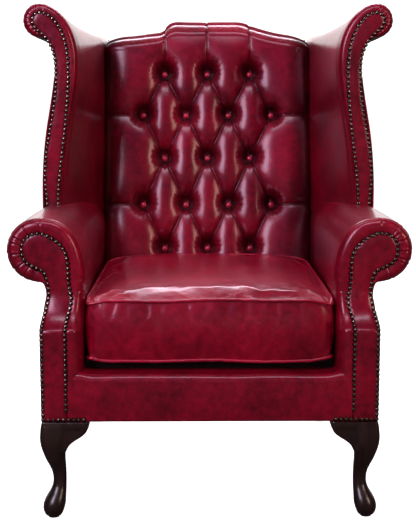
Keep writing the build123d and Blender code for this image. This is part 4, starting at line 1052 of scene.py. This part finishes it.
def dome_tree(name, with_rim):
    """A node tree that sets one dome on every point of a line, turned to the surface there."""
    sizes = [(label, "Float", size) for label, size in (("Radius", 0.005), ("Height", 0.003), ("Tilt", 0.06))]
    tree, source = geometry_tree(name, [*sizes, ("Seed", "Int", 1)])
    radius, tilt = source["Radius"], source["Tilt"]
    ball = add_node(tree, "GeometryNodeMeshUVSphere", {"Segments": 16, "Rings": 10, "Radius": 1.0})
    spot = add_node(tree, "GeometryNodeInputPosition").outputs[0]
    up = add_node(tree, "ShaderNodeSeparateXYZ", {0: spot}).outputs["Z"]
    ins = {"Name": "crown", "Geometry": ball.outputs["Mesh"], "Value": up}
    keep = add_node(tree, "GeometryNodeStoreNamedAttribute", ins, data_type="FLOAT", domain="POINT")
    stretch = add_node(tree, "ShaderNodeCombineXYZ", {"X": radius, "Y": radius, "Z": source["Height"]})
    ins = {"Geometry": keep.outputs["Geometry"], "Scale": stretch.outputs["Vector"]}
    shape = add_node(tree, "GeometryNodeTransform", ins).outputs["Geometry"]
    body = add_node(tree, "GeometryNodeSetShadeSmooth", {"Geometry": shape}).outputs["Geometry"]
    if with_rim:
        ins = {"Vertices": 20, "Depth": 0.0007, "Radius": worked(tree, "MULTIPLY", radius, 1.06)}
        plate = add_node(tree, "GeometryNodeMeshCylinder", ins).outputs["Mesh"]
        both = add_node(tree, "GeometryNodeJoinGeometry", {"Geometry": plate})
        feed(tree, both, {"Geometry": body})
        body = both.outputs["Geometry"]
    facing = add_node(tree, "GeometryNodeInputNamedAttribute", {"Name": "facing"}, data_type="FLOAT_VECTOR")
    ins = {"Vector": facing.outputs["Attribute"]}
    turn = add_node(tree, "FunctionNodeAlignRotationToVector", ins, axis="Z").outputs["Rotation"]
    ins = {"Min": worked(tree, "MULTIPLY", tilt, -1), "Max": tilt, "Seed": source["Seed"]}
    lean = add_node(tree, "FunctionNodeRandomValue", ins, data_type="FLOAT_VECTOR").outputs["Value"]
    leaned = add_node(tree, "FunctionNodeEulerToRotation", {0: lean}).outputs[0]
    ins = {"Rotation": turn, "Rotate By": leaned}
    wobble = add_node(tree, "FunctionNodeRotateRotation", ins, rotation_space="LOCAL").outputs["Rotation"]
    ins = {"Points": source["Geometry"], "Instance": body, "Rotation": wobble}
    domes = add_node(tree, "GeometryNodeInstanceOnPoints", ins).outputs["Instances"]
    hand_out(tree, domes, source["Material"])
    return tree


def grown(mesh, tree, settings):
    """The mesh that a node tree with these settings makes of a mesh."""
    carrier = placed("carrier", mesh)
    modifier = carrier.modifiers.new("growing", "NODES")
    modifier.node_group = tree
    for item in tree.interface.items_tree:
        if item.in_out == "INPUT" and item.name in settings:
            modifier[item.identifier] = settings[item.name]
    return finished_mesh(carrier)


def domes_on(spots, facings, tree, settings):
    """A dome on each of a set of points, as a plain mesh."""
    mesh = bpy.data.meshes.new("points")
    mesh.from_pydata((np.asarray(spots) / 1000).tolist(), [], [])
    attribute = mesh.attributes.new("facing", "FLOAT_VECTOR", "POINT")
    attribute.data.foreach_set("vector", np.asarray(facings, np.float32).reshape(-1))
    return grown(mesh, tree, settings)


# The buttons' hide is painted a little lighter than the rest, and lightest on the dome tops, as a painted
# highlight.
button_leather = leather_material("button_leather", 0.7, 0.3, 1.0, even=0.25)
face_normal = np.array([0, -math.cos(rake), math.sin(rake)])
button_spots = []
for row, x, v in buttons:
    z = kink_height + v * math.cos(rake)
    button_spots.append(np.array([x, float(back_depth(z, 0)), z]) - face_normal * button_well)
settings = {"Radius": 0.0078, "Height": 0.0052, "Tilt": 0.12, "Seed": 3, "Material": button_leather}
facings = [face_normal] * len(button_spots)
mesh = domes_on(button_spots, facings, dome_tree("leather_buttons", False), settings)
crown = np.zeros(len(mesh.vertices), np.float32)
mesh.attributes["crown"].data.foreach_get("value", crown)
# Painted highlight: lighter towards each dome's top.
mark_wear_light_and_shade(mesh, np.clip(0.45 + 0.4 * crown, 0, 1))
kept_piece("leather_buttons", mesh, "chair", ["back_buttons"])

# Outside panels
# Flat leather panels on card close the outside of the arms and wings and the back. They keep the
# CAD's shapes and take the look of the hide with less gloss.
panel_leather = leather_material("panel_leather", 1.0, 0.8, 0.25, 0.0, 0.5)
dress(panel_leather, "outside_arm_", "outside_wing_", "outside_back")

# Loose cushion
# A boxed cushion of foam in a leather case: crowned top and bottom panels and a band round the
# sides, sewn together over piping, with creases where sitting has eased the hide.
wadding = cloth_material("wadding", (0.55, 0.5, 0.38), (0.8, 0.75, 0.6), 90, 0.95, 0.3)
seam_low, seam_high = 338.0, 456.0
cushion_front, cushion_rear = front_y + 34, float(back_depth(seam_low, 0)) - 10
cushion_middle = (cushion_front + cushion_rear) / 2
half_front, half_rear, seat_half = 251.5, 238.5, 249.5
top_crown, low_crown, corner_draw = 33, 6.5, 0.013
across_count, along_count, band_count = 96, 96, 30
crown_curve = smooth_line([
    (0, 0.02), (0.03, 0.43), (0.07, 0.69), (0.13, 0.86), (0.22, 0.95), (0.5, 1.0), (0.78, 1.03),
    (0.93, 0.8), (1, 0.05),
], 200)


def seam_wave(x, share, high):
    """The slight rise and fall of a sewn edge, drawn in at the front corners."""
    wave = 1.4 * np.sin(x / 62 + (0.6 if high else 2.1)) + 0.9 * np.sin(x / 31 + 1.3)
    corner = np.exp(-((seat_half - np.abs(x)) / 26) ** 2) * np.exp(-(share * 500 / 30) ** 2)
    return wave * (1 - share) + (-6 if high else 7) * corner


def closer_at_ends(count):
    """Shares from 0 to 1, closer together near both."""
    even = np.linspace(0, 1, count)
    return 0.45 * (0.5 - 0.5 * np.cos(even * math.pi)) + 0.55 * even


grid_s, grid_t = np.meshgrid(closer_at_ends(along_count), closer_at_ends(across_count), indexing="ij")
drawn_x, drawn_y = [1 - corner_draw * np.abs(2 * grid - 1) ** 18 for grid in (grid_s, grid_t)]
plan_x = (2 * grid_t - 1) * (half_front + (half_rear - half_front) * grid_s) * drawn_x
plan_y = cushion_front + (cushion_rear - cushion_front) * grid_s
plan_y = (plan_y - cushion_middle) * drawn_y + cushion_middle
side_crown = np.clip(1 - np.abs(2 * grid_t - 1) ** 4.4, 0, 1)
end_crown = np.clip(np.interp(grid_s, crown_curve[:, 0], crown_curve[:, 1]), 0, 1)
top_z = seam_high + seam_wave(plan_x, grid_s, True) + top_crown * end_crown * side_crown ** 0.75
droop = 8 * step_between(-grid_s, -0.16, 0)
low_z = seam_low - droop + seam_wave(plan_x, grid_s, False) - low_crown * end_crown * side_crown
places = [np.stack([plan_x, plan_y, z], axis=-1).reshape(-1, 3) for z in (top_z, low_z)]
count = across_count * along_count
panel_faces = grid_faces(along_count, across_count)
faces = [tuple(reversed(face)) for face in panel_faces]
faces += [tuple(corner + count for corner in face) for face in panel_faces]
rim = grid_rim(along_count, across_count)
size = len(rim)
rim_top, rim_low = places[0][rim], places[1][rim]
rim_out = outer_side((np.roll(rim_top, -1, axis=0) - np.roll(rim_top, 1, axis=0))[:, :2])
corner_gap = np.hypot(seat_half - np.abs(rim_top[:, 0]), rim_top[:, 1] - cushion_front)
rim_soft = 1 - 0.75 * np.exp(-(corner_gap / 28) ** 2)
for step in range(1, band_count):
    share = step / band_count
    line = rim_low * (1 - share) + rim_top * share
    swell = (4.5 + 5.5 * (line[:, 1] < cushion_front + 60)) * math.sin(math.pi * share) ** 0.8
    line[:, :2] += rim_out * (swell * rim_soft)[:, None]
    places.append(line)
places = np.concatenate(places)
rings = [[corner + count for corner in rim]]
rings += [[2 * count + step * size + index for index in range(size)] for step in range(band_count - 1)]
rings.append(rim)
for low_ring, high_ring in zip(rings, rings[1:]):
    for index in range(size):
        beside = (index + 1) % size
        faces.append((low_ring[index], low_ring[beside], high_ring[beside], high_ring[index]))


def simulated_cover(places, faces, pinned, limit):
    """Inflates a sewn cover a little as cloth and gives back the settled places."""
    mesh = bpy.data.meshes.new("cover_trial")
    mesh.from_pydata((places / 1000).tolist(), [], faces)
    trial = placed("cover_trial", mesh)
    trial.vertex_groups.new(name="held").add(sorted(pinned), 1.0, "REPLACE")
    modifier = trial.modifiers.new("cloth", "CLOTH")
    cloth_settings = {
        "quality": 6, "mass": 0.4, "tension_stiffness": 22, "compression_stiffness": 22,
        "shear_stiffness": 10, "bending_stiffness": 0.6, "vertex_group_mass": "held", "pin_stiffness": 1.0,
        "use_pressure": True, "uniform_pressure_force": 3.0, "shrink_min": -0.009, "shrink_max": -0.009,
    }
    for key, value in cloth_settings.items():
        setattr(modifier.settings, key, value)
    modifier.settings.effector_weights.gravity = 0
    modifier.collision_settings.use_collision = False
    for number in range(1, 21):
        bpy.context.scene.frame_set(number)
    settled = finished_mesh(trial)
    result = np.zeros(len(settled.vertices) * 3)
    settled.vertices.foreach_get("co", result)
    move = result.reshape(-1, 3) * 1000 - places
    reach = np.linalg.norm(move, axis=1)
    move *= (limit * np.tanh(reach / limit) / np.maximum(reach, 1e-6))[:, None]
    bpy.context.scene.frame_set(1)
    return places + move


if not outward(places, faces):
    faces = [tuple(reversed(face)) for face in faces]
places[:2 * count, 2] += 0.5 * ripple(places[:2 * count], 26, 71)
places = simulated_cover(places, faces, set(rim) | set(rings[0]), 6.0)
fold_x, fold_y = places[:count, 0].copy(), places[:count, 1] - cushion_front
small = np.sin((fold_x + 0.55 * fold_y) / 11.5) * np.sin(fold_x / 63 + 1.1)
small *= np.exp(-((fold_y / 100 - 0.55) / 0.38) ** 2)
places[:count, 2] += 0.75 * small * np.clip(np.abs(fold_x) / 110, 0.15, 1)
# The band and bottom keep one tone; the top panel is a little lighter, and its small folds get painted shade
# in their troughs and painted light on their ridges.
worn = np.full(len(places), 0.66)
worn[:count] = 0.74 + 0.06 * small
foam_middle = np.mean(places, axis=0)
foam = (places - foam_middle) * (1 - 7.0 / np.array([250, 250, 60])) + foam_middle
make_piece("cushion_foam", foam, faces, 0.5, wadding, "cushion", ["cushion_core"])
make_piece("cushion_leather", places, faces, worn, oxblood, "cushion", ["cushion_cover"])


# Piping
# Leather sewn round a cord, closed round the cushion's top and bottom seams. It stands a little
# outside the edge and is slightly uneven in thickness.
def cord_tree(name):
    """A node tree that runs a round cord, a little uneven, along a line."""
    tree, source = geometry_tree(name, [("Radius", "Float", 0.003), ("Unevenness", "Float", 0.08)])
    line = add_node(tree, "GeometryNodeMeshToCurve", {"Mesh": source["Geometry"]}).outputs["Curve"]
    ring = add_node(tree, "GeometryNodeCurvePrimitiveCircle", {"Resolution": 12, "Radius": source["Radius"]})
    spot = add_node(tree, "GeometryNodeInputPosition").outputs[0]
    low, high = [worked(tree, sign, 1, source["Unevenness"]) for sign in ("SUBTRACT", "ADD")]
    size = ranged(tree, noise(tree, spot, 60.0), low, high, 0.3, 0.7)
    ins = {"Curve": line, "Profile Curve": ring.outputs["Curve"], "Scale": size}
    tube = add_node(tree, "GeometryNodeCurveToMesh", ins).outputs["Mesh"]
    smooth = add_node(tree, "GeometryNodeSetShadeSmooth", {"Geometry": tube}).outputs["Geometry"]
    hand_out(tree, smooth, source["Material"])
    return tree


cord_places, cord_edges = [], []
for line in (places[rim], places[rings[0]]):
    line[:, :2] += rim_out * 2.2
    cord_edges += [(len(cord_places) + index, len(cord_places) + (index + 1) % size) for index in range(size)]
    cord_places += (line / 1000).tolist()
mesh = bpy.data.meshes.new("seam_lines")
mesh.from_pydata(cord_places, cord_edges, [])
mesh = grown(mesh, cord_tree("piping"), {"Radius": 0.0033, "Unevenness": 0.06, "Material": oxblood})
# The piping's hide is set lighter than the panels'.
mark_wear_light_and_shade(mesh, 0.9)
kept_piece("cushion_piping_leather", mesh, "cushion", ["cushion_piping"])

# Zip
# A coil zip on woven tape across the cushion's rear band, with a brass slider and pull. The slider
# is a body of its own and slides along the tape.
dress(cloth_material("zip_cloth", (0.02, 0.004, 0.005), (0.09, 0.015, 0.02), 420, 0.8, 0.2), "cushion_zip")
brass_tones = [(0.35, (0.2, 0.15, 0.1)), (0.65, (0.5, 0.42, 0.3))]
dress(metal_material("zip_brass", brass_tones, 0.3, 220, 0.2), "zip_slider")

# Nails
# Domed antique-brass upholstery nails set nearly touching along the facings. Their colour runs from
# dark rims to bright crowns: partly the rubbed antique finish, partly a painted highlight.
nail_pitch, nail_radius = 10.5, 4.7
leg_top_size = 98
head_radius, head_rise, set_off = 0.0046, 0.0032, 0.3
antique_brass, tree, shader = new_material("antique_brass")
crown = add_node(tree, "ShaderNodeAttribute", attribute_name="crown").outputs["Fac"]
tarnish = noise(tree, object_place(tree), 700.0, 3.0)
# Painted highlight: the colour brightens towards each dome's crown, over a little tarnish.
amount = worked(tree, "MULTIPLY_ADD", tarnish, 0.35, worked(tree, "SUBTRACT", crown, 0.17))
nail_tones = [
    (0.3, (0.004, 0.003, 0.0025)), (0.7, (0.02, 0.014, 0.01)), (0.88, (0.12, 0.095, 0.07)),
    (1.0, (0.42, 0.37, 0.3)),
]
feed(tree, shader, {
    "Base Color": color_steps(tree, amount, nail_tones), "Roughness": ranged(tree, crown, 0.5, 0.24),
    "Metallic": 1,
})


def nails_along(line, depth):
    """Evenly spaced places along a front-view line laid on the face that depth gives."""
    line = np.stack([line[:, 0], depth(line[:, 1]), line[:, 1]], axis=1)
    return respaced(line, max(1, round(float(lengths_along(line)[-1]) / nail_pitch)) + 1)


arm_spots = nails_along(standing(arm_scroll_nails, nail_low_z, 80), arm_front)
above_foot = (arm_spots[:, 0] > facing_inner_x + nail_radius) | (arm_spots[:, 2] > nail_low_z + nail_pitch)
foot_ends = (nail_outer_x - nail_pitch, nail_low_z), (body_half - leg_top_size + 2 * nail_radius, nail_low_z)
arm_spots = np.concatenate([arm_spots[above_foot], nails_along(np.linspace(*foot_ends, 60), arm_front)])
wing_spots = nails_along(wing_nail_line(500), flat_wing_front)
nail_tree = dome_tree("upholstery_nails", True)
nail_rows = (("arm", arm_spots, arm_front, 5), ("wing", wing_spots, flat_wing_front, 9))
settings = {"Radius": head_radius, "Height": head_rise, "Tilt": 0.1, "Material": antique_brass}
for side, word in both_sides:
    for kind, spots, depth, seed in nail_rows:
        slope = depth(spots[:, 2] + 0.5) - depth(spots[:, 2] - 0.5)
        facing = np.stack([np.zeros(len(spots)), -np.ones(len(spots)), slope], axis=1)
        facing /= np.linalg.norm(facing, axis=1)[:, None]
        settings["Seed"] = seed + side
        mesh = domes_on((spots + facing * set_off) * (side, 1, 1), facing, nail_tree, settings)
        kept_piece(f"{kind}_nail_heads_{word}", mesh, "chair", [f"{kind}_nails_{word}"])
